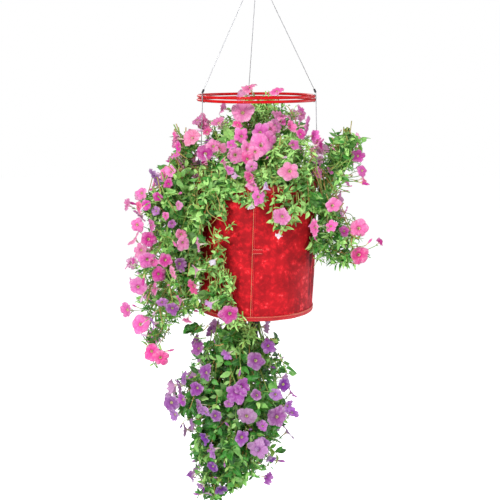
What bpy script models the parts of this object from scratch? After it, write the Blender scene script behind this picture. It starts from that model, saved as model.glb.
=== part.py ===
"""Hanging fabric planter with trailing petunias on top and an upside-down petunia under the base.

A red fabric bag hangs on three steel cables. The cables meet at a gather ring under a swivel and
a hook, pass round two stacked red spreader rings, and end in eyelets on the bag's rim.
Units are metres, +Z is up. The origin is the flat inside the hook's crown, where the hook bears
on its bracket. The front faces -Y, so left is -X. Azimuths are degrees from the front, towards +X.
Profiles are (radius, height) points, turned about Z.
"""

import math

import bmesh
import bpy
import numpy as np
from mathutils import Vector

# ---------------------------------------------------------------- driving dimensions
STEPS = 36                      # facets round the bag
GAP = 0.0003                    # room between neighbouring pieces
UPRIGHT = math.radians(90)

HOOK_WIRE_R = 0.00225
HOOK_CROWN_R = 0.018            # centre line of the crown
HOOK_FLAT_DEPTH = 0.00035       # the bearing flat filed inside the crown
SHANK_END_Z = -0.0545

BARREL_TOP_Z, BARREL_BOTTOM_Z = -0.0505, -0.0680
BARREL_R = 0.0066
BARREL_CAVITY_R = 0.0045
BARREL_CAVITY_TOP_Z, BARREL_CAVITY_FLOOR_Z = -0.0590, -0.0640

EYE_STEM_R = 0.0016
EYE_R, EYE_WIRE_R = 0.0065, 0.0015
EYE_Z = -0.0800                 # centre of the swivel eye
GATHER_R, GATHER_WIRE_R = 0.0120, 0.0015
LINK_Z = EYE_Z - EYE_R          # axis of the fore-and-aft swing
GATHER_Z = LINK_Z + EYE_WIRE_R + GATHER_WIRE_R + GAP - GATHER_R
GATHER_BOTTOM_Z = GATHER_Z - GATHER_R       # axis of the side swing

# side: (azimuth, Y of the cable's loop on the gather ring)
CABLES = {
    "left": (-62.4, -0.0032),
    "right": (77.4, 0.0),
    "back": (187.5, 0.0032),
}
CABLE_R = 0.0008
STRAND = CABLE_R + GAP / 2      # half the spacing of two strands in one sleeve

RING_R, RING_WIRE_R = 0.1275, 0.0026
RING_UPPER_Z, RING_LOWER_Z = -0.3790, -0.3870

RIM_TOP_Z, RIM_BOTTOM_Z = -0.5605, -0.5780
RIM_WIRE_R = 0.0015
RIM_WIRE_RING_R, RIM_WIRE_Z = 0.1326, -0.5640
BINDING_OUT_R, BINDING_IN_R, BINDING_T = 0.1357, 0.1295, 0.0012
BINDING_ROUND_R, BINDING_ROUND_Z = 0.0015, 0.0016       # chamfer on its top edges

TAB_W, TAB_T, TAB_TOP_Z, TAB_BOTTOM_Z = 0.016, 0.0024, -0.5410, -0.5770
TAB_R = BINDING_OUT_R + GAP + TAB_T / 2
TAB_BEVEL = 0.0007
EYELET_Z = -0.5500
EYELET_IN_R, EYELET_OUT_R, EYELET_FLANGE_R = 0.0030, 0.0038, 0.0054
EYELET_LIP, EYELET_LIP_SLOPE = 0.0005, 0.0006

# outer face of the fabric wall: a slight barrel that narrows to the base
WALL_PROFILE = (
    (0.1335, -0.5665), (0.1334, -0.6300), (0.1322, -0.7000),
    (0.1302, -0.7700), (0.1280, -0.8200), (0.1262, -0.8505),
)
WALL_BOTTOM_R = WALL_PROFILE[-1][0]
WALL_T = 0.0018

SEAM_AZIMUTH, SEAM_WIDE = -3.4, 3.8         # degrees
SEAM_TOP_Z, SEAM_BOTTOM_Z = -0.5790, -0.8480
SEAM_OFFSET, SEAM_T = 0.0004, 0.0010
PATCH_AZIMUTH, PATCH_WIDE = 0.6, 9.4        # degrees
PATCH_Z = (-0.6970, -0.7080)
PATCH_OFFSET, PATCH_T = 0.0019, 0.0009

BASE_Z = -0.8550                # underside of the base panel
BASE_T = 0.0025
BASE_EDGE_R = WALL_BOTTOM_R - WALL_T - 0.0012
OPENING_R = 0.0300
TRIM_IN_R = OPENING_R - 0.0015
TRIM_LIP_W, TRIM_LIP_T = 0.0050, 0.0012

COLLAR_HOLE_R = 0.0110
COLLAR_NECK_R = TRIM_IN_R - 0.0005
COLLAR_FLANGE_R = 0.0440
COLLAR_TOP_Z, COLLAR_BOTTOM_Z = -0.8340, -0.8720
COLLAR_CHAMFER = 0.0020

SOIL_TOP_Z, SOIL_BOTTOM_Z = -0.6000, -0.8515
SOIL_GAP = 0.0004               # between the soil and the wall
SOIL_POCKET_R, SOIL_POCKET_TOP_Z = 0.0455, -0.7760      # room for the lower root ball

FOLIAGE_SKIN = 0.006            # foliage masses are hollow, because real foliage is mostly air
TRAIL_PIVOT_Z = -0.5600
LOWER_PIVOT_Z = -0.8530

# ---------------------------------------------------------------- colours
RED_FABRIC = (0.58, 0.012, 0.022)
RED_BASE = (0.45, 0.010, 0.018)
RED_TRIM = (0.40, 0.010, 0.018)
RED_PAINT = (0.55, 0.010, 0.015)
STEEL = (0.55, 0.56, 0.58)
CABLE_STEEL = (0.60, 0.61, 0.63)
BRASS = (0.72, 0.66, 0.50)
DARK = (0.035, 0.035, 0.040)
FOAM = (0.020, 0.020, 0.022)
SOIL = (0.055, 0.033, 0.020)
ROOTS = (0.110, 0.070, 0.040)
LEAF = (0.070, 0.260, 0.045)
STALK = (0.25, 0.32, 0.08)

# ---------------------------------------------------------------- scene
for old in list(bpy.data.objects):
    bpy.data.objects.remove(old, do_unlink=True)
for old in list(bpy.data.collections):
    bpy.data.collections.remove(old)

parts = bpy.data.collections.new("hanging_planter")
cutters = bpy.data.collections.new("cutters")
bpy.context.scene.collection.children.link(parts)
bpy.context.scene.collection.children.link(cutters)


def material(name, color, roughness, metallic):
    made = bpy.data.materials.new(name)
    made.use_nodes = True
    bsdf = made.node_tree.nodes["Principled BSDF"]
    bsdf.inputs["Base Color"].default_value = (*color, 1.0)
    bsdf.inputs["Roughness"].default_value = roughness
    bsdf.inputs["Metallic"].default_value = metallic
    made.diffuse_color = (*color, 1.0)
    return made


def move_to(obj, collection):
    for held in list(obj.users_collection):
        held.objects.unlink(obj)
    collection.objects.link(obj)


def place(obj, name, color, roughness, metallic=0.0):
    """Put an object in the planter's collection under its part name, with its own material."""
    obj.name = name
    obj.data.name = name
    obj.data.materials.clear()
    obj.data.materials.append(material(name, color, roughness, metallic))
    move_to(obj, parts)


def helper(obj):
    """Put an object that only serves a boolean among the hidden cutters."""
    move_to(obj, cutters)
    obj.hide_render = True
    obj.display_type = "WIRE"
    return obj


# ---------------------------------------------------------------- shape builders
def mesh_object(name, bm):
    mesh = bpy.data.meshes.new(name)
    bm.to_mesh(mesh)
    bm.free()
    obj = bpy.data.objects.new(name, mesh)
    bpy.context.scene.collection.objects.link(obj)
    return obj


def smooth(obj, angle):
    """Shade smooth, but keep edges sharper than the angle in degrees."""
    obj.data.shade_smooth()
    obj.data.set_sharp_from_angle(angle=math.radians(angle))


def polar(azimuth, radius, z, along=0.0):
    """A point at an azimuth, with an offset along the tangent."""
    a = math.radians(azimuth)
    radial = Vector((math.sin(a), -math.cos(a), 0))
    tangent = Vector((math.cos(a), math.sin(a), 0))
    return radial * radius + tangent * along + Vector((0, 0, z))


def arc(start, stop, step):
    """The (cosine, sine) pairs of whole degrees from start up to, but not including, stop."""
    angles = [math.radians(degrees) for degrees in range(start, stop, step)]
    return [(math.cos(a), math.sin(a)) for a in angles]


def lathe(name, profile, steps, closed=False, angle=360.0):
    """A profile turned about Z."""
    bm = bmesh.new()
    points = [bm.verts.new((r, 0, z)) for r, z in profile]
    for start, end in zip(points, points[1:]):
        bm.edges.new((start, end))
    if closed:
        bm.edges.new((points[-1], points[0]))
    obj = mesh_object(name, bm)
    screw = obj.modifiers.new("Screw", "SCREW")
    screw.axis = "Z"
    screw.angle = math.radians(angle)
    screw.steps = screw.render_steps = steps
    screw.use_merge_vertices = True
    screw.merge_threshold = 0.00001
    screw.use_smooth_shade = True
    return obj


def torus(name, major, minor, z, segments, rotation=(0, 0, 0)):
    """A ring centred on the Z axis; segments are (round the ring, round the wire)."""
    bpy.ops.mesh.primitive_torus_add(
        major_segments=segments[0], minor_segments=segments[1],
        major_radius=major, minor_radius=minor, location=(0, 0, z), rotation=rotation)
    obj = bpy.context.object
    obj.name = name
    smooth(obj, 60)
    return obj


def wire(name, points, radius, resolution):
    """A round wire along points, with filled ends."""
    curve = bpy.data.curves.new(name, "CURVE")
    curve.dimensions = "3D"
    spline = curve.splines.new("POLY")
    spline.points.add(len(points) - 1)
    for at, point in zip(spline.points, points):
        at.co = (*point, 1.0)
    curve.bevel_depth = radius
    curve.bevel_resolution = resolution
    curve.use_fill_caps = True
    curve.twist_mode = "MINIMUM"
    obj = bpy.data.objects.new(name, curve)
    bpy.context.scene.collection.objects.link(obj)
    return obj


def as_mesh(obj):
    """Replace a curve or modified mesh with a plain mesh object with welded ends."""
    bpy.context.view_layer.update()
    evaluated = obj.evaluated_get(bpy.context.evaluated_depsgraph_get())
    mesh = bpy.data.meshes.new_from_object(evaluated)
    bm = bmesh.new()
    bm.from_mesh(mesh)
    bmesh.ops.remove_doubles(bm, verts=bm.verts, dist=0.000001)
    bmesh.ops.recalc_face_normals(bm, faces=bm.faces)
    bm.to_mesh(mesh)
    bm.free()
    name = obj.name
    world = obj.matrix_world.copy()
    bpy.data.objects.remove(obj, do_unlink=True)
    made = bpy.data.objects.new(name, mesh)
    made.matrix_world = world
    bpy.context.scene.collection.objects.link(made)
    return made


def boolean(obj, other, operation):
    modifier = obj.modifiers.new(operation.title(), "BOOLEAN")
    modifier.operation = operation
    modifier.object = other
    modifier.solver = "EXACT"


def ellipsoid(name, centre, radii):
    bm = bmesh.new()
    bmesh.ops.create_uvsphere(bm, u_segments=12, v_segments=8, radius=1.0)
    bmesh.ops.scale(bm, vec=radii, verts=bm.verts)
    obj = mesh_object(name, bm)
    obj.location = centre
    return obj


def cylinder(name, radius, depth, location, vertices, rotation=(0, 0, 0)):
    bm = bmesh.new()
    bmesh.ops.create_cone(
        bm, cap_ends=True, segments=vertices, radius1=radius, radius2=radius, depth=depth)
    obj = mesh_object(name, bm)
    obj.location = location
    obj.rotation_euler = rotation
    return obj


def clearance(name, radius, bottom_z, top_z, vertices=STEPS):
    """An upright cutting cylinder on the planter's axis."""
    middle = (0, 0, (bottom_z + top_z) / 2)
    return helper(cylinder(name, radius, top_z - bottom_z, middle, vertices))


def box(name, size, location, rotation=(0, 0, 0)):
    bm = bmesh.new()
    bmesh.ops.create_cube(bm, size=1.0)
    bmesh.ops.scale(bm, vec=size, verts=bm.verts)
    obj = mesh_object(name, bm)
    obj.location = location
    obj.rotation_euler = rotation
    return obj


def wall_radius(z):
    """Outer radius of the bag wall at a height."""
    radii, heights = zip(*reversed(WALL_PROFILE))
    return float(np.interp(z, heights, radii))


# ---------------------------------------------------------------- hook and swivel
# (x, z) of the open tip, from the left end of the crown
HOOK_TIP = ((-0.0035, -0.0120), (-0.0008, -0.0065))
# (x, z) from the crown's centre, where the wire comes back to the centre line
HOOK_RETURN = ((0.0085, -0.0185), (0.0030, -0.0235), (0.0, -0.0290))
HOOK_CUTTER_SIZE = (0.006, 0.008, 0.004)


def build_hook():
    """Runs from the open tip on the left, over the crown, and back under to the centre line."""
    crown_z = -HOOK_CROWN_R + HOOK_WIRE_R - HOOK_FLAT_DEPTH
    path = [Vector((-HOOK_CROWN_R + x, 0, crown_z + z)) for x, z in HOOK_TIP]
    path += [Vector((HOOK_CROWN_R * cos, 0, crown_z + HOOK_CROWN_R * sin))
             for cos, sin in arc(180, -41, -20)]
    path += [Vector((x, 0, crown_z + z)) for x, z in HOOK_RETURN]
    path.append(Vector((0, 0, SHANK_END_Z)))
    hook = as_mesh(wire("hook_wire", path, HOOK_WIRE_R, resolution=2))
    # the cutter's top face is the bearing flat, at the origin
    flat = box("hook_flat_cutter", HOOK_CUTTER_SIZE, (0, 0, -HOOK_CUTTER_SIZE[2] / 2))
    boolean(hook, helper(flat), "DIFFERENCE")
    place(hook, "hanging_hook", STEEL, roughness=0.28, metallic=1.0)
    smooth(hook, 50)


def build_barrel():
    """The upper bore takes the shank and stops above the cavity, which holds the eye's head."""
    shank_bore_r = HOOK_WIRE_R + GAP
    shank_bore_z = SHANK_END_Z - 2 * GAP
    stem_bore_r = EYE_STEM_R + GAP
    barrel = lathe("barrel", [
        (0.0, shank_bore_z), (shank_bore_r, shank_bore_z), (shank_bore_r, BARREL_TOP_Z),
        (0.0042, BARREL_TOP_Z), (0.0062, BARREL_TOP_Z - 0.0020),
        (BARREL_R, BARREL_TOP_Z - 0.0040), (BARREL_R, BARREL_BOTTOM_Z + 0.0030),
        (0.0048, BARREL_BOTTOM_Z), (stem_bore_r, BARREL_BOTTOM_Z),
        (stem_bore_r, BARREL_CAVITY_FLOOR_Z), (BARREL_CAVITY_R, BARREL_CAVITY_FLOOR_Z),
        (BARREL_CAVITY_R, BARREL_CAVITY_TOP_Z), (0.0, BARREL_CAVITY_TOP_Z)], 16)
    place(barrel, "swivel_barrel", STEEL, roughness=0.3, metallic=1.0)


def build_swivel_eye():
    """A headed stem with a ring under it."""
    stem_end_z = EYE_Z + EYE_R - 0.0002
    stem = as_mesh(lathe("stem", [
        (0.0, -0.0606), (0.0038, -0.0606), (0.0040, -0.0610), (0.0040, -0.0628),
        (0.0037, -0.0634), (EYE_STEM_R, -0.0634), (EYE_STEM_R, stem_end_z),
        (0.0, stem_end_z)], 16))
    ring = torus("eye_ring", EYE_R, EYE_WIRE_R, EYE_Z, (20, 8), rotation=(UPRIGHT, 0, 0))
    boolean(stem, helper(ring), "UNION")
    place(stem, "swivel_eye", STEEL, roughness=0.28, metallic=1.0)
    smooth(stem, 40)


def build_gather_ring():
    ring = torus("gather", GATHER_R, GATHER_WIRE_R, GATHER_Z, (24, 6), rotation=(0, UPRIGHT, 0))
    place(ring, "gather_ring", STEEL, roughness=0.28, metallic=1.0)


def build_spreader_ring(name, z):
    ring = torus(name, RING_R, RING_WIRE_R, z, (48, 6))
    place(ring, name, RED_PAINT, roughness=0.22, metallic=0.1)


# ---------------------------------------------------------------- cables and crimp sleeves
WRAP_OUT = RING_R + RING_WIRE_R + CABLE_R + GAP
WRAP_IN = RING_R - RING_WIRE_R - CABLE_R - GAP
WRAP_TOP = RING_UPPER_Z + RING_WIRE_R + CABLE_R + GAP
WRAP_BOTTOM = RING_LOWER_Z - RING_WIRE_R - CABLE_R - GAP
WRAP_CORNER = 0.0011            # how far the wrap's corners are drawn in
CORNER_TOP = RING_UPPER_Z + RING_WIRE_R
CORNER_BOTTOM = RING_LOWER_Z - RING_WIRE_R
# one turn round both spreader rings: (radius, offset along the tangent, z)
WRAP = (
    (WRAP_OUT, 0.0000, RING_UPPER_Z + 0.0012),
    (WRAP_OUT, 0.0001, RING_LOWER_Z - 0.0008),
    (WRAP_OUT - WRAP_CORNER, 0.0003, CORNER_BOTTOM),
    (RING_R, 0.0006, WRAP_BOTTOM),
    (WRAP_IN + WRAP_CORNER, 0.0009, CORNER_BOTTOM),
    (WRAP_IN, 0.0011, RING_LOWER_Z),
    (WRAP_IN, 0.0014, RING_UPPER_Z),
    (WRAP_IN + WRAP_CORNER, 0.0016, CORNER_TOP),
    (RING_R, 0.0019, WRAP_TOP),
    (WRAP_OUT - WRAP_CORNER, 0.0022, CORNER_TOP),
    (WRAP_OUT, 0.0024, RING_UPPER_Z),
    (WRAP_OUT, 0.0025, RING_LOWER_Z - 0.0030),
)
ENTRY_RISE = 0.0025             # the cable bends into the wrap this far above it
TOP_LOOP_R = 0.0029             # loop round the gather ring
TOP_SLEEVE = (0.0085, 0.0175)   # start and end, down the cable from the gather ring
RING_SLEEVE = (0.0100, 0.0015)  # start and end, up the cable from the wrap
RIM_SLEEVE_TOP_Z, RIM_SLEEVE_BOTTOM_Z = -0.5255, -0.5350
EYELET_LOOP_R = 0.0034          # loop through the eyelet
EYELET_LOOP_Z = EYELET_Z + 0.0024
CABLE_TAIL = 0.0005             # how far a cable end stops short of, or passes, its sleeve's end
TWO_STRAND_SLEEVE = (0.0022, 0.0028)        # inner and outer radius
ONE_STRAND_SLEEVE = (0.0012, 0.0024)


def build_sleeve(name, start, end, radii):
    """A short crimped tube from start to end."""
    inner, outer = radii
    length = (end - start).length
    end_r = outer * 0.86
    tube = lathe(name, [
        (end_r, length), (outer, length / 2), (end_r, 0.0), (inner, 0.0), (inner, length)],
        8, closed=True)
    tube.location = start
    tube.rotation_mode = "QUATERNION"
    tube.rotation_quaternion = (end - start).to_track_quat("Z", "Y")
    place(tube, name, DARK, roughness=0.45, metallic=0.3)


def top_loop(centre, down, side_sign):
    """Cable points from the short end, round the gather ring and down through the top sleeve."""
    across = (Vector((1, 0, 0)) - down * down.x).normalized() * side_sign
    up = -down
    sleeve_top, sleeve_end = (centre + down * distance for distance in TOP_SLEEVE)
    points = [sleeve_end - across * STRAND + up * CABLE_TAIL, sleeve_top - across * STRAND]
    points += [centre + across * TOP_LOOP_R * cos + up * TOP_LOOP_R * sin
               for cos, sin in arc(220, -41, -26)]
    return points + [sleeve_top + across * STRAND, sleeve_end + across * STRAND]


def rim_loop(azimuth):
    """Cable points down through the rim sleeve, through the eyelet and back up."""
    inner_r, outer_r = TAB_R - STRAND, TAB_R + STRAND
    points = [polar(azimuth, inner_r, RIM_SLEEVE_TOP_Z + 0.0030),
              polar(azimuth, inner_r, RIM_SLEEVE_BOTTOM_Z)]
    points += [polar(azimuth, TAB_R + EYELET_LOOP_R * cos, EYELET_LOOP_Z + EYELET_LOOP_R * sin)
               for cos, sin in arc(180, 361, 30)]
    return points + [polar(azimuth, outer_r, RIM_SLEEVE_BOTTOM_Z),
                     polar(azimuth, outer_r, RIM_SLEEVE_TOP_Z - CABLE_TAIL)]


def build_cable(side, azimuth, loop_y):
    """One cable from the gather ring to the eyelet, with its three sleeves."""
    # the gather ring's wire rises a little either side of its lowest point
    centre = Vector((0, loop_y, GATHER_Z - math.sqrt(GATHER_R ** 2 - loop_y ** 2)))
    entry = polar(azimuth, WRAP_OUT, WRAP_TOP + ENTRY_RISE)
    down = (entry - centre).normalized()
    # the long strand leaves on the side of the loop away from where the cable goes
    side_sign = -1 if entry.x > 0 else 1
    points = top_loop(centre, down, side_sign)
    points += [entry - down * 0.0120, entry]
    points += [polar(azimuth, radius, z, along) for radius, along, z in WRAP]
    points += rim_loop(azimuth)
    name = "cable_" + side
    cable = wire(name, points, CABLE_R, resolution=1)
    place(cable, name, CABLE_STEEL, roughness=0.35, metallic=1.0)

    top, end = (centre + down * distance for distance in TOP_SLEEVE)
    build_sleeve("top_crimp_" + side, end, top, TWO_STRAND_SLEEVE)
    start, end = (entry - down * distance for distance in RING_SLEEVE)
    build_sleeve("ring_crimp_" + side, start, end, ONE_STRAND_SLEEVE)
    build_sleeve("rim_crimp_" + side, polar(azimuth, TAB_R, RIM_SLEEVE_BOTTOM_Z),
                 polar(azimuth, TAB_R, RIM_SLEEVE_TOP_Z), TWO_STRAND_SLEEVE)


# ---------------------------------------------------------------- hanger tabs and eyelets
def build_tab(side, azimuth):
    """A fabric tab on the rim, punched for its eyelet."""
    spin = math.radians(azimuth)
    size = (TAB_W, TAB_T, TAB_TOP_Z - TAB_BOTTOM_Z)
    middle = polar(azimuth, TAB_R, (TAB_TOP_Z + TAB_BOTTOM_Z) / 2)
    tab = box("tab", size, middle, (0, 0, spin))
    bevel = tab.modifiers.new("Bevel", "BEVEL")
    bevel.width = TAB_BEVEL
    bevel.segments = 1
    punch = cylinder("tab_punch_" + side, EYELET_OUT_R + GAP, 0.02,
                     polar(azimuth, TAB_R, EYELET_Z), 16, rotation=(UPRIGHT, 0, spin))
    boolean(tab, helper(punch), "DIFFERENCE")
    place(tab, "hanger_tab_" + side, RED_FABRIC, roughness=0.5)


def build_eyelet(side, azimuth):
    half = TAB_T / 2 + GAP
    face = half + EYELET_LIP
    face_r = EYELET_FLANGE_R - EYELET_LIP_SLOPE
    eyelet = lathe("eyelet", [
        (EYELET_IN_R, face), (face_r, face), (EYELET_FLANGE_R, half), (EYELET_OUT_R, half),
        (EYELET_OUT_R, -half), (EYELET_FLANGE_R, -half), (face_r, -face),
        (EYELET_IN_R, -face)], 12, closed=True)
    eyelet.location = polar(azimuth, TAB_R, EYELET_Z)
    eyelet.rotation_euler = (UPRIGHT, 0, math.radians(azimuth))
    place(eyelet, "eyelet_" + side, BRASS, roughness=0.3, metallic=1.0)


# ---------------------------------------------------------------- bag
def build_rim_wire():
    rim = torus("rim", RIM_WIRE_RING_R, RIM_WIRE_R, RIM_WIRE_Z, (STEPS, 6))
    place(rim, "rim_wire", STEEL, roughness=0.35, metallic=1.0)


def build_rim_binding():
    """A channel, open below, over the rim wire and the top of the wall."""
    cavity_out, cavity_in = BINDING_OUT_R - BINDING_T, BINDING_IN_R + BINDING_T
    cavity_top, shoulder_z = RIM_TOP_Z - BINDING_T, RIM_TOP_Z - BINDING_ROUND_Z
    binding = lathe("binding", [
        (BINDING_OUT_R - BINDING_ROUND_R, RIM_TOP_Z), (BINDING_OUT_R, shoulder_z),
        (BINDING_OUT_R, RIM_BOTTOM_Z), (cavity_out, RIM_BOTTOM_Z),
        (cavity_out, cavity_top), (cavity_in, cavity_top),
        (cavity_in, RIM_BOTTOM_Z), (BINDING_IN_R, RIM_BOTTOM_Z),
        (BINDING_IN_R, shoulder_z), (BINDING_IN_R + BINDING_ROUND_R, RIM_TOP_Z)],
        STEPS, closed=True)
    place(binding, "rim_binding", RED_FABRIC, roughness=0.45)


def build_wall():
    inner = [(r - WALL_T, z) for r, z in reversed(WALL_PROFILE)]
    wall = lathe("wall", [*WALL_PROFILE, *inner], STEPS, closed=True)
    place(wall, "bag_wall", RED_FABRIC, roughness=0.42)


def build_strip(name, azimuth, wide, heights, offset, thickness):
    """A band that lies on the wall: part of a turned surface, given its thickness outwards."""
    profile = [(wall_radius(z) + offset, z) for z in heights]
    band = lathe(name, profile, round(wide / 2), angle=wide)
    # the turning starts at one edge, on +X, and azimuths count from -Y
    band.rotation_euler = (0, 0, math.radians(azimuth - wide / 2 - 90))
    thick = band.modifiers.new("Solidify", "SOLIDIFY")
    thick.thickness = thickness
    thick.offset = 1.0
    thick.use_even_offset = True
    place(band, name, RED_FABRIC, roughness=0.45)


def build_base():
    base = lathe("base", [
        (OPENING_R, BASE_Z + BASE_T), (BASE_EDGE_R, BASE_Z + BASE_T),
        (BASE_EDGE_R, BASE_Z + GAP), (OPENING_R, BASE_Z + GAP)], STEPS, closed=True)
    place(base, "bag_base", RED_BASE, roughness=0.5)


def build_piping():
    """A rounded bead under the wall's lower edge."""
    piping = lathe("piping", [
        (0.1262, -0.8510), (0.1278, -0.8522), (0.1284, -0.8545), (0.1276, -0.8568),
        (0.1256, -0.8580), (0.1240, -0.8570), (0.1236, -0.8545), (0.1242, -0.8516)],
        STEPS, closed=True)
    place(piping, "base_piping", RED_FABRIC, roughness=0.4)


def build_opening_trim():
    """An angle section that lines the opening and laps under the base."""
    out_r, lip_r = OPENING_R - GAP, OPENING_R + TRIM_LIP_W
    top_z, lip_z = BASE_Z + BASE_T, BASE_Z - TRIM_LIP_T
    trim = lathe("trim", [
        (out_r, top_z), (out_r, BASE_Z), (lip_r, BASE_Z), (lip_r, lip_z),
        (TRIM_IN_R, lip_z), (TRIM_IN_R, top_z)], STEPS, closed=True)
    place(trim, "opening_trim", RED_TRIM, roughness=0.5)


def build_collar():
    """A flanged foam plug in the opening, slit on its right so it can close round the stems."""
    flange_z = BASE_Z + BASE_T + 0.0005
    collar = as_mesh(lathe("collar", [
        (COLLAR_HOLE_R, COLLAR_TOP_Z), (COLLAR_FLANGE_R, COLLAR_TOP_Z),
        (COLLAR_FLANGE_R, flange_z), (COLLAR_NECK_R, flange_z),
        (COLLAR_NECK_R, COLLAR_BOTTOM_Z + COLLAR_CHAMFER),
        (COLLAR_NECK_R - COLLAR_CHAMFER, COLLAR_BOTTOM_Z),
        (COLLAR_HOLE_R, COLLAR_BOTTOM_Z)], 24, closed=True))
    slit = box("collar_slit", (0.0500, 0.0012, 0.0600), (0.0300, 0, -0.8500))
    boolean(collar, helper(slit), "DIFFERENCE")
    place(collar, "foam_collar", FOAM, roughness=0.9)


# ---------------------------------------------------------------- soil and roots
def build_soil():
    """Fills the bag, with a pocket in its underside for the lower root ball."""
    side = [(wall_radius(z) - WALL_T - SOIL_GAP, z) for z in (-0.6100, -0.7000, -0.8200)]
    soil = lathe("soil", [
        (0.0, SOIL_TOP_Z), (0.0600, SOIL_TOP_Z - 0.0020), (0.1000, SOIL_TOP_Z - 0.0040),
        *side, (BASE_EDGE_R, SOIL_BOTTOM_Z), (SOIL_POCKET_R, SOIL_BOTTOM_Z),
        (SOIL_POCKET_R, SOIL_POCKET_TOP_Z), (0.0, SOIL_POCKET_TOP_Z)], STEPS)
    place(soil, "potting_soil", SOIL, roughness=0.95)


def build_roots():
    bottom_z = COLLAR_TOP_Z + 2 * GAP
    roots = lathe("roots", [
        (0.0, -0.7775), (0.0250, -0.7785), (0.0360, -0.7900), (0.0390, -0.8100),
        (0.0370, -0.8280), (0.0300, bottom_z), (0.0, bottom_z)], 24)
    place(roots, "lower_root_ball", ROOTS, roughness=0.95)


# ---------------------------------------------------------------- foliage
# leafy masses of each trailing plant: (centre, radii)
TRAILS = {
    "left_trail_foliage": (
        ((-0.1950, -0.0300, -0.5400), (0.0650, 0.1200, 0.1200)),
        ((-0.1050, -0.1100, -0.7200), (0.1050, 0.0850, 0.1300)),
        ((-0.2300, -0.0400, -0.7600), (0.0800, 0.1000, 0.2050))),
    "right_trail_foliage": (
        ((0.2000, -0.0200, -0.5700), (0.0650, 0.0950, 0.1300)),
        ((0.1950, -0.0100, -0.4450), (0.0700, 0.0500, 0.0500)),
        ((0.2350, -0.0500, -0.6700), (0.0500, 0.0550, 0.0950))),
    "back_trail_foliage": (
        ((0.0100, 0.1850, -0.5700), (0.1500, 0.0700, 0.1250)),
        ((-0.0400, 0.2000, -0.7300), (0.0850, 0.0600, 0.1500))),
}
LOWER_MASSES = (
    ((-0.0500, -0.0050, -1.0750), (0.1250, 0.1150, 0.1550)),
    ((-0.1250, -0.0050, -1.0600), (0.0850, 0.0850, 0.0850)),
    ((-0.0750, -0.0100, -1.2300), (0.0550, 0.0550, 0.0900)),
)
# the shell of the crown: down its outer face, then back up its inner face
CROWN_PROFILE = (
    (0.0, -0.3470), (0.0450, -0.3560), (0.0860, -0.3870), (0.1110, -0.4350), (0.1200, -0.5000),
    (0.1190, -0.5500), (0.1150, -0.5920),
    (0.1090, -0.5920), (0.1130, -0.5500), (0.1140, -0.5000), (0.1050, -0.4380),
    (0.0815, -0.3920), (0.0430, -0.3620), (0.0, -0.3530),
)


def build_crown():
    """A domed shell of leaves on top, with a lobe that hangs over the rim at the front."""
    crown = as_mesh(lathe("crown", CROWN_PROFILE, 24))
    lobe = ellipsoid("crown_front", (0.0050, -0.1450, -0.5250), (0.0900, 0.0450, 0.0650))
    boolean(lobe, clearance("rim_clear", 0.1410, -0.7000, -0.5560), "DIFFERENCE")
    boolean(lobe, clearance("crown_inner", 0.1120, -0.7000, -0.4000, 24), "DIFFERENCE")
    boolean(crown, helper(as_mesh(lobe)), "UNION")
    place(crown, "crown_foliage", LEAF, roughness=0.6)
    smooth(crown, 60)


def build_foliage(name, masses, cuts):
    """Leafy masses joined into one hollow body, cut back from what they must clear."""
    body, *others = [ellipsoid(f"{name}_mass_{index}", centre, radii)
                     for index, (centre, radii) in enumerate(masses)]
    for other in others:
        boolean(body, helper(other), "UNION")
    for index, (centre, radii) in enumerate(masses):
        hollow_radii = [radius - FOLIAGE_SKIN for radius in radii]
        hollow = ellipsoid(f"{name}_hollow_{index}", centre, hollow_radii)
        boolean(body, helper(hollow), "DIFFERENCE")
    for cut in cuts:
        boolean(body, cut, "DIFFERENCE")
    place(body, name, LEAF, roughness=0.6)
    smooth(body, 60)


def build_trails():
    """Trailing plants, kept off the bag and the cables."""
    keep_clear = clearance("keep_clear", 0.148, -0.95, -0.30)
    # above the rim the plants tip inwards as they swing out, so they start further from the cables
    cable_clear = clearance("cable_clear", 0.1640, -0.5300, -0.3000)
    for name, masses in TRAILS.items():
        build_foliage(name, masses, [keep_clear, cable_clear])


def build_lower_foliage():
    neck = clearance("lower_neck", 0.0260, -1.0600, -0.8800, 16)
    build_foliage("lower_foliage", LOWER_MASSES, [neck])


STEM_COUNT, STEM_R = 5, 0.0021
STEM_TURN = 0.33                # radians from +X to the first stem
STEM_TOP_Z, STEM_DROP = -0.8710, 0.0700
STEM_START_R, STEM_SPREAD = 0.0039, 0.0160


def build_lower_stems():
    """The stems leave the collar as one bundle and spread below it."""
    stems = as_mesh(lathe("stem_core", [
        (0.0, -0.8365), (0.0055, -0.8370), (0.0072, -0.8450), (0.0076, -0.8700),
        (0.0068, -0.8790), (0.0, -0.8820)], 16))
    for index in range(STEM_COUNT):
        a = 2 * math.pi * index / STEM_COUNT + STEM_TURN
        points = []
        for share in (0.0, 0.2, 0.45, 0.75, 1.0):
            radius = STEM_START_R + STEM_SPREAD * share ** 1.4
            z = STEM_TOP_Z - STEM_DROP * share
            points.append(Vector((radius * math.cos(a), radius * math.sin(a), z)))
        stem = as_mesh(wire(f"stem_{index}", points, STEM_R, resolution=2))
        boolean(stems, helper(stem), "UNION")
    place(stems, "lower_stems", STALK, roughness=0.6)


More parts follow.
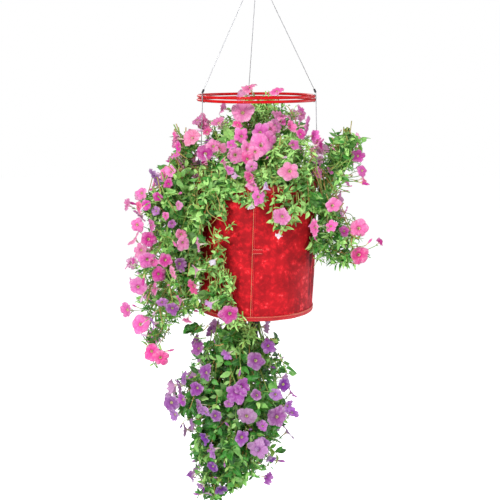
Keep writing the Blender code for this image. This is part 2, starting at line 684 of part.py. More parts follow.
# ---------------------------------------------------------------- joints
# the hook and barrel are fixed; pivot: (parent pivot, place, parts it carries)
PIVOTS = {
    "swivel_pivot": (None, (0, 0, BARREL_CAVITY_FLOOR_Z), ["swivel_eye"]),
    "gather_pivot": ("swivel_pivot", (0, 0, LINK_Z), ["gather_ring"]),
    "planter_pivot": ("gather_pivot", (0, 0, GATHER_BOTTOM_Z), []),
    "left_trail_pivot": ("planter_pivot", (-TAB_R, 0, TRAIL_PIVOT_Z), ["left_trail_foliage"]),
    "right_trail_pivot": ("planter_pivot", (TAB_R, 0, TRAIL_PIVOT_Z), ["right_trail_foliage"]),
    "back_trail_pivot": ("planter_pivot", (0, TAB_R, TRAIL_PIVOT_Z), ["back_trail_foliage"]),
    "lower_plant_pivot": ("planter_pivot", (0, 0, LOWER_PIVOT_Z),
                          ["lower_foliage", "lower_stems"]),
}


def build_pivots():
    """Hang the moving groups from empties on their joint axes."""
    carrier = {part: pivot for pivot, (_, _, held) in PIVOTS.items() for part in held}
    pieces = [obj for obj in parts.objects if obj.name not in ("hanging_hook", "swivel_barrel")]
    empties = {}
    for name, (parent, at, _) in PIVOTS.items():
        empty = bpy.data.objects.new(name, None)
        empty.location = at
        empty.empty_display_size = 0.02
        parts.objects.link(empty)
        empties[name] = empty
        if parent:
            empty.parent = empties[parent]
            empty.location = Vector(at) - Vector(PIVOTS[parent][1])
    bpy.context.view_layer.update()
    for obj in pieces:
        # the planter carries every piece that no other pivot does
        pivot = empties[carrier.get(obj.name, "planter_pivot")]
        obj.parent = pivot
        obj.matrix_parent_inverse = pivot.matrix_world.inverted()


# ---------------------------------------------------------------- build
build_hook()
build_barrel()
build_swivel_eye()
build_gather_ring()
build_spreader_ring("spreader_ring_upper", RING_UPPER_Z)
build_spreader_ring("spreader_ring_lower", RING_LOWER_Z)
for side, (azimuth, loop_y) in CABLES.items():
    build_cable(side, azimuth, loop_y)
    build_tab(side, azimuth)
    build_eyelet(side, azimuth)
build_rim_wire()
build_rim_binding()
build_wall()
seam_heights = (SEAM_TOP_Z, *(z for _, z in WALL_PROFILE[1:-1]), SEAM_BOTTOM_Z)
build_strip("seam_strip", SEAM_AZIMUTH, SEAM_WIDE, seam_heights, SEAM_OFFSET, SEAM_T)
build_strip("seam_patch", PATCH_AZIMUTH, PATCH_WIDE, PATCH_Z, PATCH_OFFSET, PATCH_T)
build_base()
build_piping()
build_opening_trim()
build_collar()
build_soil()
build_roots()
build_crown()
build_trails()
build_lower_foliage()
build_lower_stems()
build_pivots()
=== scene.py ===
"""Looks for the hanging petunia planter: fabric bag, cables, spreader rings, leaves and blooms.

Metres, +Z up, front towards -Y. Azimuths turn about Z from the front, positive towards +X (right).
Heights, radii and the room each plant may take come from the CAD nodes' boxes and meshes.
"""

import math

import bpy
import numpy as np
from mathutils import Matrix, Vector

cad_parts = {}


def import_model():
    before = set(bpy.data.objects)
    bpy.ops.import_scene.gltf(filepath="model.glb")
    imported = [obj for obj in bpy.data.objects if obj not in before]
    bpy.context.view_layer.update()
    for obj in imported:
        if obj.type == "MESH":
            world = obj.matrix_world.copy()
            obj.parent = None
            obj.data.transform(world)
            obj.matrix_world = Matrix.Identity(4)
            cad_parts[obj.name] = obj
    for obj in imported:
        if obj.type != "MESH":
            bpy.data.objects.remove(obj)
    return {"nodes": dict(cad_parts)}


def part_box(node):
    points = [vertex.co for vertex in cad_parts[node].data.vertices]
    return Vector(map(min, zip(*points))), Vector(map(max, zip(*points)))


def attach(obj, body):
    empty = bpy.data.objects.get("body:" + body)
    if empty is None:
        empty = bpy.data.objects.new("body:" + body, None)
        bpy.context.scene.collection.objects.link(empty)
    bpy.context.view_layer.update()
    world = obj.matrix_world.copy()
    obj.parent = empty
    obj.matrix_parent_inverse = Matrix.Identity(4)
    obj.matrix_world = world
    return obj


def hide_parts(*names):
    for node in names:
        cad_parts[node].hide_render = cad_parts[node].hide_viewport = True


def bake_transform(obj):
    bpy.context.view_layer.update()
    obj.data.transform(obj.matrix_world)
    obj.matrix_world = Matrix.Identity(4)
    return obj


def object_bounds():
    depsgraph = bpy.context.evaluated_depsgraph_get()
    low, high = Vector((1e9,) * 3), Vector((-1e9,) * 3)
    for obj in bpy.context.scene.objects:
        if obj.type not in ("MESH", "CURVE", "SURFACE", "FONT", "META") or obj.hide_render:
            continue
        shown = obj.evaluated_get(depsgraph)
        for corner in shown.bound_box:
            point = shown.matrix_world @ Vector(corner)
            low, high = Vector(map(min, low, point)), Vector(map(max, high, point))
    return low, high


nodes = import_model()["nodes"]
cad_lo, cad_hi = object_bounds()
scene = bpy.context.scene
TAU = 2 * math.pi
UP = np.array((0.0, 0.0, 1.0))


# ------------------------------------------------------------------ the frame's own numbers
def corners(node):
    low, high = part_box(node)
    return np.array(low), np.array(high)


def middle(node):
    low, high = corners(node)
    return (low + high) / 2


def azimuth_of(node):
    x, y, _ = middle(node)
    return math.atan2(x, -y)


def points_of(node):
    mesh = nodes[node].data
    coords = np.empty(len(mesh.vertices) * 3, np.float32)
    mesh.vertices.foreach_get("co", coords)
    return coords.reshape(-1, 3).astype(float)


def largest_radius(points):
    return np.hypot(*points[:, :2].T).max()


low, high = corners("rim_binding")
RIM_TOP, RIM_BOTTOM = high[2], low[2]
RIM_R = high[0]                                     # outer radius of the rim tape
TAPE_INNER = RIM_R - 0.0062                         # inner face of the folded tape
wall = points_of("bag_wall")
wall_z = np.unique(np.round(wall[:, 2], 4))
wall_r = np.array([largest_radius(wall[abs(wall[:, 2] - z) < 2e-4]) for z in wall_z])
WALL_TOP, WALL_BOTTOM = wall_z.max(), wall_z.min()
profile_fit = np.polyfit(wall_z - WALL_BOTTOM, wall_r, 3)
low, high = corners("base_piping")
BASE_Z = (low[2] + high[2]) / 2
PIPING_BOTTOM, PIPING_R = low[2], high[0]
COLLAR_BOTTOM, COLLAR_TOP = (float(corner[2]) for corner in corners("foam_collar"))
AZIMUTH = {side: azimuth_of("rim_crimp_" + side) for side in ("left", "right", "back")}
TAB_R = float(np.hypot(*middle("eyelet_left")[:2]))
EYELET_Z = float(middle("eyelet_left")[2])


def wall_radius(z):
    return np.polyval(profile_fit, np.asarray(z, float) - WALL_BOTTOM)


# ------------------------------------------------------------------ meshes
def unit(vectors):
    return vectors / np.maximum(np.linalg.norm(vectors, axis=-1, keepdims=True), 1e-9)


def circle(steps, offset=0.0):
    return TAU * (np.arange(steps) + offset) / steps


def polar(azimuth, radius, z, along=0.0):
    """Points at a radius and height; along is a step sideways, along the tangent."""
    azimuth, radius, z, along = np.broadcast_arrays(azimuth, radius, z, along)
    sine, cosine = np.sin(azimuth), np.cos(azimuth)
    return np.stack([sine * radius + cosine * along, -cosine * radius + sine * along, z], -1)


def outward(azimuth):
    return polar(azimuth, 1.0, 0.0)


def tangent(azimuth):
    return polar(azimuth, 0.0, 0.0, 1.0)


def bezier(start, bend, end, along):
    along = along[None, :, None]
    return ((1 - along) ** 2 * start[:, None] + 2 * along * (1 - along) * bend[:, None]
            + along ** 2 * end[:, None])


def grid(count, rows, cols, around=False, closed=False):
    """Quads of count grids. around joins the last column to the first, closed the last row."""
    row = np.arange(rows if closed else rows - 1)[:, None]
    col = np.arange(cols if around else cols - 1)[None, :]
    next_row, next_col = (row + 1) % rows, (col + 1) % cols
    quads = np.broadcast_arrays(row * cols + col, row * cols + next_col,
                                next_row * cols + next_col, next_row * cols + col)
    quads = np.stack(quads, -1).reshape(-1, 4)
    return (quads[None] + (np.arange(count) * rows * cols)[:, None, None]).reshape(-1, 4)


class Sheet:
    """One mesh grown from many grids, with named values at its points."""

    def __init__(self):
        self.points, self.faces, self.values, self.size = [], [], {}, 0

    def add(self, points, faces, **values):
        points = np.asarray(points, float).reshape(-1, 3)
        self.points.append(points)
        for face in faces:
            self.faces.append(np.asarray(face, int) + self.size)
        for key, value in values.items():
            value = np.asarray(value, float).reshape(len(points), -1)
            self.values.setdefault(key, []).append(value)
        self.size += len(points)

    def skin(self, points, around=False, closed=False, **values):
        """Adds one grid of rows x cols points, or a stack of them."""
        rows, cols = points.shape[-3:-1]
        count = len(points) if points.ndim == 4 else 1
        self.add(points, [grid(count, rows, cols, around, closed)], **values)

    def build(self, name, material):
        coords = np.concatenate(self.points).astype(np.float32)
        loops = np.concatenate([face.reshape(-1) for face in self.faces]).astype(np.int32)
        sizes = np.concatenate([np.full(len(face), face.shape[1]) for face in self.faces])
        starts = np.concatenate([[0], np.cumsum(sizes)[:-1]]).astype(np.int32)
        mesh = bpy.data.meshes.new(name)
        mesh.vertices.add(len(coords))
        mesh.vertices.foreach_set("co", coords.ravel())
        mesh.loops.add(len(loops))
        mesh.loops.foreach_set("vertex_index", loops)
        mesh.polygons.add(len(starts))
        mesh.polygons.foreach_set("loop_start", starts)
        mesh.update(calc_edges=True)
        kinds = {1: ("FLOAT", "value"), 3: ("FLOAT_VECTOR", "vector")}
        for key, parts in self.values.items():
            value = np.concatenate(parts).astype(np.float32)
            kind, field = kinds[value.shape[1]]
            attribute = mesh.attributes.new(key, kind, "POINT")
            attribute.data.foreach_set(field, value.ravel())
        mesh.validate()
        mesh.shade_smooth()
        mesh.materials.append(material)
        obj = bpy.data.objects.new(name, mesh)
        scene.collection.objects.link(obj)
        return obj

    def install(self, name, material, body="planter", slot=None, stands_for=()):
        """Builds the mesh, parents it to its body and hides the CAD nodes it stands for. slot is
        not used.
        """
        obj = self.build(name, material)
        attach(obj, body)
        if stands_for:
            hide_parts(*stands_for)


def rings_along(paths, radii, sides, closed=False, twist=0.0, lobes=0, lobe=0.0):
    """Rings of points round each path, n x k x sides x 3. twist turns each ring on the last."""
    radii = np.broadcast_to(radii, paths.shape[:2])
    if closed:
        heading = np.roll(paths, -1, 1) - np.roll(paths, 1, 1)
    else:
        heading = np.gradient(paths, axis=1)
    heading = unit(heading)
    first = heading[:, 0]
    reference = np.where(abs(first[:, 2:3]) < 0.8, UP, np.array((1.0, 0.0, 0.0)))
    side = unit(np.cross(first, reference))
    turn = circle(sides)
    scale = 1 + lobe * np.cos(lobes * turn)
    rings = []
    for i in range(paths.shape[1]):
        ahead = heading[:, i]
        side = unit(side - (side * ahead).sum(-1, keepdims=True) * ahead)
        other = np.cross(ahead, side)
        angle = turn + i * twist
        rings.append(paths[:, i, None] + radii[:, i, None, None] * scale[:, None]
                     * (side[:, None] * np.cos(angle)[:, None]
                        + other[:, None] * np.sin(angle)[:, None]))
    return np.stack(rings, 1)


def tube(sheet, paths, radii, sides=6, closed=False, stem=None, **shape):
    """Tubes round the paths, capped unless closed. stem is a value kept at their points."""
    paths = np.asarray(paths, float)
    paths = paths[None] if paths.ndim == 2 else paths
    count, rows, _ = paths.shape
    points = rings_along(paths, radii, sides, closed, **shape)
    faces = [grid(count, rows, sides, around=True, closed=closed)]
    if not closed:
        start = (np.arange(count) * rows * sides)[:, None]
        faces.append(start + np.arange(sides)[None, ::-1])
        faces.append(start + (rows - 1) * sides + np.arange(sides)[None, :])
    if stem is None:
        sheet.add(points, faces)
    else:
        stem = np.asarray(stem, float).reshape(-1, 1, 1)
        sheet.add(points, faces, stem=np.broadcast_to(stem, (count, rows, sides)))


def turned(profile, steps):
    """A profile of (radius, height) turned about Z."""
    profile = np.asarray(profile, float)
    return polar(circle(steps)[:, None], profile[:, 0], profile[:, 1])


def lathe(sheet, profile, steps, at=(0, 0, 0), axes=np.eye(3)):
    """A closed (radius, height) profile turned into a ring. The rows of axes are its X, Y, Z."""
    points = turned(profile, steps) @ np.asarray(axes, float) + np.asarray(at, float)
    sheet.skin(points, around=True, closed=True)


def smooth_path(path, step):
    """The path at even steps, corners rounded by a Catmull-Rom pass."""
    path = np.asarray(path, float)
    full = np.concatenate([[2 * path[0] - path[1]], path, [2 * path[-1] - path[-2]]])
    along = np.linspace(0, 1, 9)[:-1, None]
    pieces = []
    for i in range(1, len(full) - 2):
        before, start, end, after = full[i - 1:i + 3]
        pieces.append(0.5 * (2 * start + (end - before) * along
                             + (2 * before - 5 * start + 4 * end - after) * along ** 2
                             + (3 * start - before - 3 * end + after) * along ** 3))
    fine = np.concatenate(pieces + [path[-1:]])
    steps = np.linalg.norm(np.diff(fine, axis=0), axis=1)
    length = np.concatenate([[0], np.cumsum(steps)])
    even = np.linspace(0, length[-1], max(4, int(length[-1] / step)))
    return np.stack([np.interp(even, length, fine[:, i]) for i in range(3)], -1)


# ------------------------------------------------------------------ shader nodes
class Signal:
    """A shader value that can be used in arithmetic."""

    def __init__(self, shader, socket):
        self.shader, self.socket = shader, socket

    def math(self, operation, other=0.0):
        inputs = {0: self, 1: other, 2: 0.0}
        return self.shader.make("ShaderNodeMath", 0, inputs, operation=operation)

    def __add__(self, other):
        return self.math("ADD", other)

    def __sub__(self, other):
        return self.math("SUBTRACT", other)

    def __mul__(self, other):
        return self.math("MULTIPLY", other)

    def sin(self):
        return self.math("SINE")

    def abs(self):
        return self.math("ABSOLUTE")

    def off_centre(self):
        """How far the value is from the middle of its whole-number cell."""
        return (self.math("FRACT") - 0.5).abs()

    def fit(self, low, high, to=(0.0, 1.0)):
        """Eases from to[0] at low to to[1] at high."""
        inputs = {0: self, 1: low, 2: high, 3: to[0], 4: to[1]}
        return self.shader.make("ShaderNodeMapRange", 0, inputs, interpolation_type="SMOOTHSTEP")


class Shader:
    """A node tree, written as expressions."""

    def __init__(self, name, library=bpy.data.materials, output="ShaderNodeOutputMaterial"):
        self.owner = library.new(name)
        self.owner.use_nodes = True
        self.tree = self.owner.node_tree
        self.tree.nodes.clear()
        self.output = self.tree.nodes.new(output)

    def put(self, socket, value):
        if isinstance(value, Signal):
            self.tree.links.new(value.socket, socket)
        elif isinstance(value, (tuple, list)) and len(value) == 3 and socket.type == "RGBA":
            socket.default_value = (*value, 1.0)
        else:
            socket.default_value = value

    def make(self, kind, output, inputs=None, **props):
        """Makes a node, fills its inputs by name or index, and gives one of its outputs."""
        made = self.tree.nodes.new(kind)
        for key, value in props.items():
            setattr(made, key, value)
        for key, value in (inputs or {}).items():
            self.put(made.inputs[key], value)
        return Signal(self, made.outputs[output])

    def mix(self, factor, first, second, blend="MIX"):
        return self.make("ShaderNodeMix", 2, {0: factor, 6: first, 7: second},
                         data_type="RGBA", blend_type=blend)

    def split(self, vector):
        made = self.make("ShaderNodeSeparateXYZ", 0, {0: vector}).socket.node
        return [Signal(self, socket) for socket in made.outputs]

    def here(self):
        return self.make("ShaderNodeTexCoord", "Object")

    def azimuth_and_height(self, here):
        x, y, z = self.split(here)
        return x.math("ARCTAN2", y * -1.0), z

    def noise(self, scale, detail=2.0, roughness=0.5, at=None):
        inputs = {"Vector": at or self.here(), "Scale": scale, "Detail": detail,
                  "Roughness": roughness}
        return self.make("ShaderNodeTexNoise", "Fac", inputs)

    def voronoi(self, scale, at):
        return self.make("ShaderNodeTexVoronoi", "Distance", {"Vector": at, "Scale": scale})

    def value(self, name, part="Fac"):
        return self.make("ShaderNodeAttribute", part, attribute_name=name)

    def backfacing(self):
        return self.make("ShaderNodeNewGeometry", "Backfacing")

    def bump(self, height, strength, distance):
        inputs = {"Strength": strength, "Distance": distance, "Height": height}
        return self.make("ShaderNodeBump", "Normal", inputs)

    def principled(self, **inputs):
        named = {key.replace("_", " ").title().replace("Ior", "IOR"): value
                 for key, value in inputs.items()}
        return self.make("ShaderNodeBsdfPrincipled", 0, named)

    def glow_through(self, surface, color, share):
        """Thin tissue: part of the light comes through from behind."""
        behind = self.make("ShaderNodeBsdfTranslucent", 0, {"Color": color})
        return self.make("ShaderNodeMixShader", 0, {0: share, 1: surface, 2: behind})

    def finish(self, surface):
        self.put(self.output.inputs["Surface"], surface)
        return self.owner


def shaded(color, share):
    return tuple(part * share for part in color)


# ------------------------------------------------------------------ plant materials
def leaf_material():
    sh = Shader("leaf_tissue")
    across, along, chance = sh.split(sh.value("leaf", "Vector"))
    # tone is painted light and shade: high where a plant faces the light, low inside and under it
    tone = sh.value("tone")
    grain = sh.noise(scale=160.0, detail=3.0)
    mottle = sh.noise(scale=38.0)
    wide = across.abs()
    # dark is both the leaves' own darker patches and the painted shade of a low tone; light is
    # only the painted highlight of a high tone
    dark, mid, light = (0.0035, 0.038, 0.0065), (0.052, 0.325, 0.034), (0.510, 0.860, 0.260)
    yellowed, vein_green = (0.36, 0.46, 0.07), (0.20, 0.47, 0.12)
    back_green, edge_green, glow = (0.115, 0.35, 0.095), (0.30, 0.42, 0.10), (0.16, 0.57, 0.03)
    body = sh.mix((chance * 0.55 + mottle * 0.5).fit(0.20, 0.70), dark, mid)
    # painted shade from a low tone, then a painted highlight from a high tone
    body = sh.mix(tone.fit(0.0, 0.45, to=(0.75, 0.0)), body, dark)
    body = sh.mix((tone + grain * 0.25).fit(0.55, 1.30), body, light)
    body = sh.mix(chance.fit(0.93, 1.0, to=(0.0, 0.7)), body, yellowed)
    # veins leave the midrib at a slant and curve to the margin
    slant = along * 7.0 - wide.math("POWER", 0.8) * 1.35
    side_vein = slant.off_centre().fit(0.00, 0.10, to=(1.0, 0.0))
    midrib = wide.fit(0.03, 0.13, to=(1.0, 0.0))
    veins = (side_vein * 0.45).math("MAXIMUM", midrib)
    body = sh.mix(veins * 0.55, body, vein_green)
    body = sh.mix(sh.backfacing() * 0.55, body, back_green)
    body = sh.mix(wide.fit(0.86, 1.0) * 0.25, body, edge_green)
    height = veins * -1.0 + grain * 0.7
    surface = sh.principled(
        base_color=body, roughness=grain.fit(0.2, 0.8, to=(0.34, 0.56)),
        normal=sh.bump(height, strength=0.45, distance=0.0009), specular_ior_level=0.45)
    return sh.finish(sh.glow_through(surface, sh.mix(0.5, body, glow), share=0.24))


def petal_material():
    sh = Shader("petal_tissue")
    out, lobe, chance = sh.split(sh.value("petal", "Vector"))
    color = sh.value("tint", "Vector")
    grain = sh.noise(scale=420.0, detail=3.0)
    cloud = sh.noise(scale=150.0, detail=3.0, roughness=0.65)
    blush, cream = (0.98, 0.80, 0.93), (0.80, 0.72, 0.38)
    back_pink, tube_back = (0.90, 0.66, 0.86), (0.78, 0.74, 0.60)
    # fine veins fan out along the lobes, and fork towards the margin
    stray = (cloud - 0.5) * 0.30
    fan = (lobe * 3.0 + stray).off_centre()
    fork = (lobe * 6.0 + stray).off_centre()
    vein = fan.fit(0.0, 0.24, to=(1.0, 0.0)) * out.fit(0.20, 1.0, to=(1.0, 0.35))
    fine = fork.fit(0.0, 0.20, to=(0.75, 0.0)) * out.fit(0.35, 0.70)
    vein = vein.math("MAXIMUM", fine)
    deep = sh.mix(1.0, color, (0.70, 0.32, 0.60), blend="MULTIPLY")
    pale = sh.mix(0.50, color, blush)
    limb = sh.mix((out * 0.45 + cloud).fit(0.62, 1.22), color, pale)
    limb = sh.mix(vein * 0.62, limb, deep)
    limb = sh.mix(out.fit(0.10, 0.30, to=(0.45, 0.0)), limb, deep)
    limb = sh.mix(lobe.fit(0.80, 1.0) * 0.40, limb, deep)        # seams between the lobes
    throat = out.fit(0.04, chance * 0.07 + 0.10, to=(1.0, 0.0))
    limb = sh.mix(throat * 0.92, limb, cream)
    facing = sh.backfacing()
    back = sh.mix(0.38, limb, back_pink)
    back = sh.mix(out.fit(-0.02, 0.14, to=(1.0, 0.0)), back, tube_back)
    limb = sh.mix(facing, limb, back)
    surface = sh.principled(
        base_color=limb, roughness=grain.fit(0.2, 0.8, to=(0.50, 0.68)),
        normal=sh.bump(grain + vein * -0.8, strength=0.28, distance=0.0005),
        sheen_weight=0.25, sheen_roughness=0.4, specular_ior_level=0.3)
    return sh.finish(sh.glow_through(surface, limb, share=0.34))


def stem_material():
    """Green at low stem values, brown at high ones, and near black below zero, which is painted
    shade under the collar.
    """
    sh = Shader("stem_tissue")
    chance = sh.value("stem")
    grain = sh.noise(scale=260.0, detail=3.0)
    color = sh.mix(chance.fit(0.45, 0.80), (0.20, 0.37, 0.06), (0.46, 0.24, 0.075))
    color = sh.mix(grain.fit(0.35, 0.75, to=(0.0, 0.5)), color, (0.36, 0.47, 0.12))
    # near black below zero: painted shade
    color = sh.mix(chance.fit(-0.4, -0.1, to=(1.0, 0.0)), color,
                   sh.mix(grain.fit(0.35, 0.75), (0.010, 0.011, 0.009), (0.055, 0.048, 0.050)))
    surface = sh.principled(base_color=color, roughness=0.5,
                            normal=sh.bump(grain, strength=0.3, distance=0.0004))
    return sh.finish(sh.glow_through(surface, color, share=0.12))


# ------------------------------------------------------------------ hardware materials
def metal_material(name, color, roughness, scratch=0.25):
    sh = Shader(name)
    grain = sh.noise(scale=900.0, detail=3.0)
    blotch = sh.noise(scale=70.0)
    tone = sh.mix(blotch.fit(0.3, 0.75, to=(0.0, 0.35)), color, shaded(color, 0.62))
    rough = (grain + blotch * 0.5).fit(0.3, 1.1, to=(roughness * 0.75, roughness * 1.45))
    return sh.finish(sh.principled(base_color=tone, metallic=1.0, roughness=rough,
                                   normal=sh.bump(grain, strength=scratch, distance=0.0002)))


def lacquer_material():
    sh = Shader("ring_lacquer")
    orange_peel = sh.noise(scale=340.0)
    wear = sh.noise(scale=46.0, detail=4.0, roughness=0.65)
    color = sh.mix(wear.fit(0.30, 0.72), (0.40, 0.0008, 0.0025), (0.56, 0.0015, 0.0040))
    color = sh.mix(wear.fit(0.80, 0.90, to=(0.0, 0.5)), color, (0.30, 0.010, 0.012))
    return sh.finish(sh.principled(
        base_color=color, roughness=orange_peel.fit(0.2, 0.8, to=(0.32, 0.44)),
        coat_weight=0.04, coat_roughness=0.08, specular_ior_level=0.16,
        normal=sh.bump(orange_peel, strength=0.10, distance=0.0004)))


def dark_metal_material():
    sh = Shader("crimp_oxide")
    grain = sh.noise(scale=700.0, detail=3.0)
    color = sh.mix(grain.fit(0.3, 0.75), (0.020, 0.020, 0.024), (0.075, 0.074, 0.078))
    return sh.finish(sh.principled(
        base_color=color, metallic=0.75, roughness=grain.fit(0.2, 0.8, to=(0.34, 0.58)),
        normal=sh.bump(grain, strength=0.4, distance=0.0003)))


# ------------------------------------------------------------------ cloth materials
CLOTH_R = 0.133                                     # radius at which the weave's pitch is true
THREAD_PITCH = 0.00085
# repeat of the woven blossoms: columns round the bag, drop between rows
COLUMNS, DROP = 24, 0.0310
# each kind of blossom: shift in columns, shift in rows, size in cells, petals
BLOSSOMS = ((0.0, 0.0, 0.335, 5), (0.5, 0.25, 0.19, 5), (0.5, 0.72, 0.14, 4))


def blossom_pattern(sh, here, turn, z):
    """The woven blossoms, 0 to 1, bent a little by noise."""
    bend = (sh.noise(at=here, scale=75.0, detail=3.0, roughness=0.6) - 0.5) * 0.48
    column = turn * (COLUMNS / TAU) + bend
    total = None
    for shift, drift, size, petals in BLOSSOMS:
        across = column + (shift + 50.0)
        index = across.math("FLOOR")
        odd = index.math("MODULO", 2.0)
        level = z * (-1.0 / DROP) + odd * 0.5 + drift + bend
        u = across.math("FRACT") - 0.5
        row = level.math("FLOOR")
        v = level.math("FRACT") - 0.5
        reach = (u * u + v * v).math("SQRT")
        spin = index * 1.7 + row * 2.3
        phase = v.math("ARCTAN2", u) + spin
        rim = ((phase * (petals / 2)).math("COSINE").abs() * 0.38 + 0.62) * size
        inside = (rim - reach).fit(-0.09, 0.09)
        eye = reach.fit(size * 0.16, size * 0.30, to=(0.35, 1.0))
        shape = inside * eye
        total = shape if total is None else total.math("MAXIMUM", shape)
    return total


def weave_cloth(name, ground, bright, blossoms=True, gloss=0.36):
    """Satin-faced cloth: fine warp and weft, and a tone-on-tone scatter of plain blossoms."""
    sh = Shader(name)
    here = sh.here()
    turn, z = sh.azimuth_and_height(here)
    warp = (turn * (CLOTH_R * TAU / THREAD_PITCH)).sin()
    weft = (z * (TAU / THREAD_PITCH)).sin()
    weave = warp * weft
    cloud = sh.noise(at=here, scale=21.0, detail=3.0, roughness=0.55)
    speck = sh.noise(at=here, scale=240.0, detail=3.0, roughness=0.6)
    between = tuple(dark * 0.55 + light * 0.45 for dark, light in zip(ground, bright))
    color = sh.mix(cloud.fit(0.30, 0.72), ground, between)
    shine = cloud
    if blossoms:
        total = blossom_pattern(sh, here, turn, z)
        wear = sh.noise(at=here, scale=42.0, detail=4.0, roughness=0.65)
        shine = total * wear.fit(0.36, 0.62)
        blot = sh.noise(at=here, scale=120.0, detail=3.0, roughness=0.7).fit(0.50, 0.68)
        color = sh.mix(blot * 0.42, color, bright)
        color = sh.mix(shine * 0.85, color, bright)
        # pale specks on the blossoms: painted sheen
        color = sh.mix((shine * speck).fit(0.44, 0.62, to=(0.0, 0.45)), color, (0.92, 0.12, 0.13))
        # painted shade in streaks down the right side, where the cloth creases and turns away, and
        # a painted lavender reflection near its edge
        stretched = sh.make("ShaderNodeCombineXYZ", 0, {0: turn * 22.0, 1: 0.0, 2: z * 12.0})
        streak = sh.noise(at=stretched, scale=1.0, detail=3.0, roughness=0.6)
        crease = turn.fit(0.90, 1.14) * turn.fit(1.62, 1.78, to=(1.0, 0.0))
        color = sh.mix(crease * streak.fit(0.40, 0.54, to=(0.82, 0.0)), color,
                       (0.075, 0.0015, 0.010))
        rim_light = turn.fit(1.12, 1.34) * turn.fit(1.58, 1.74, to=(1.0, 0.0))
        color = sh.mix(rim_light * streak.fit(0.530, 0.72, to=(0.0, 0.42)), color,
                       (0.52, 0.20, 0.36))
    color = sh.mix(weave.fit(-1.0, 1.0) * 0.10, color, shaded(ground, 0.5))
    color = sh.mix(speck.fit(0.55, 0.85, to=(0.0, 0.22)), color, shaded(ground, 0.45))
    rough = shine.fit(0.1, 0.9, to=(gloss + 0.10, gloss - 0.04)) + speck * 0.06
    height = weave * 0.35 + speck * 0.5
    return sh.finish(sh.principled(
        base_color=color, roughness=rough, specular_ior_level=0.14,
        normal=sh.bump(height, strength=0.30, distance=0.0003)))


def tape_material(name, color):
    """Narrow woven tape with diagonal ribs and a slightly worn fold."""
    sh = Shader(name)
    here = sh.here()
    turn, z = sh.azimuth_and_height(here)
    rib = (turn * (CLOTH_R * TAU / 0.0011) + z * (TAU / 0.0016)).sin()
    cloud = sh.noise(at=here, scale=60.0, detail=3.0)
    fuzz = sh.noise(at=here, scale=480.0, detail=3.0)
    tone = sh.mix(cloud.fit(0.3, 0.75), shaded(color, 0.80), color)
    tone = sh.mix(rib.fit(-0.6, 1.0, to=(1.0, 0.0)) * 0.35, tone, shaded(color, 0.45))
    tone = sh.mix(fuzz.fit(0.62, 0.85, to=(0.0, 0.30)), tone, (0.85, 0.16, 0.15))
    return sh.finish(sh.principled(
        base_color=tone, roughness=fuzz.fit(0.2, 0.8, to=(0.42, 0.60)),
        normal=sh.bump(rib + fuzz * 0.8, strength=0.4, distance=0.0003)))


def thread_material(name, color):
    sh = Shader(name)
    x, y, z = sh.split(sh.here())
    ply = ((x + y + z) * (TAU / 0.0007)).sin()
    tone = sh.mix(ply.fit(-1.0, 1.0, to=(0.0, 0.5)), color, shaded(color, 0.5))
    return sh.finish(sh.principled(base_color=tone, roughness=0.5, sheen_weight=0.3,
                                   normal=sh.bump(ply, strength=0.4, distance=0.0002)))


# ------------------------------------------------------------------ fill materials
def crumb_material(name, dark, light, fleck):
    sh = Shader(name)
    here = sh.here()
    cells = sh.voronoi(at=here, scale=260.0)
    cloud = sh.noise(at=here, scale=120.0, detail=4.0, roughness=0.7)
    tone = sh.mix(cloud.fit(0.3, 0.7), dark, light)
    tone = sh.mix(cells.fit(0.0, 0.12, to=(0.85, 0.0)), tone, fleck)
    return sh.finish(sh.principled(base_color=tone, roughness=0.95,
                                   normal=sh.bump(cells + cloud, strength=0.9, distance=0.002)))


def foam_material():
    sh = Shader("foam_cells")
    cells = sh.voronoi(at=sh.here(), scale=900.0)
    tone = sh.mix(cells.fit(0.1, 0.6), (0.006, 0.006, 0.007), (0.042, 0.042, 0.046))
    return sh.finish(sh.principled(base_color=tone, roughness=0.9,
                                   normal=sh.bump(cells, strength=0.8, distance=0.0008)))


LEAF, PETAL, STEM = leaf_material(), petal_material(), stem_material()
STEEL = metal_material("wire_steel_zinc", color=(0.62, 0.63, 0.65), roughness=0.26)
CABLE = metal_material("cable_strand", color=(0.44, 0.44, 0.46), roughness=0.42, scratch=0.35)
BRASS = metal_material("eyelet_plating", color=(0.74, 0.66, 0.46), roughness=0.28)
LACQUER, OXIDE = lacquer_material(), dark_metal_material()
CLOTH = weave_cloth("bag_brocade", ground=(0.235, 0.0030, 0.0065),
                    bright=(0.690, 0.0095, 0.0180), gloss=0.52)
PLAIN = weave_cloth("bag_lining", ground=(0.40, 0.008, 0.013), bright=(0.55, 0.010, 0.018),
                    blossoms=False, gloss=0.5)
TAPE = tape_material("edge_tape", (0.58, 0.004, 0.009))
GOLD_THREAD = thread_material("seam_thread", (0.66, 0.40, 0.16))
RED_THREAD = thread_material("red_thread", (0.60, 0.03, 0.03))
PALE_THREAD = thread_material("pale_thread", (0.90, 0.50, 0.36))
SOIL = crumb_material("potting_mix", dark=(0.016, 0.010, 0.006), light=(0.070, 0.042, 0.024),
                      fleck=(0.55, 0.52, 0.46))
ROOTS = crumb_material("root_mat", dark=(0.05, 0.032, 0.018), light=(0.24, 0.16, 0.09),
                       fleck=(0.50, 0.42, 0.30))
FOAM = foam_material()

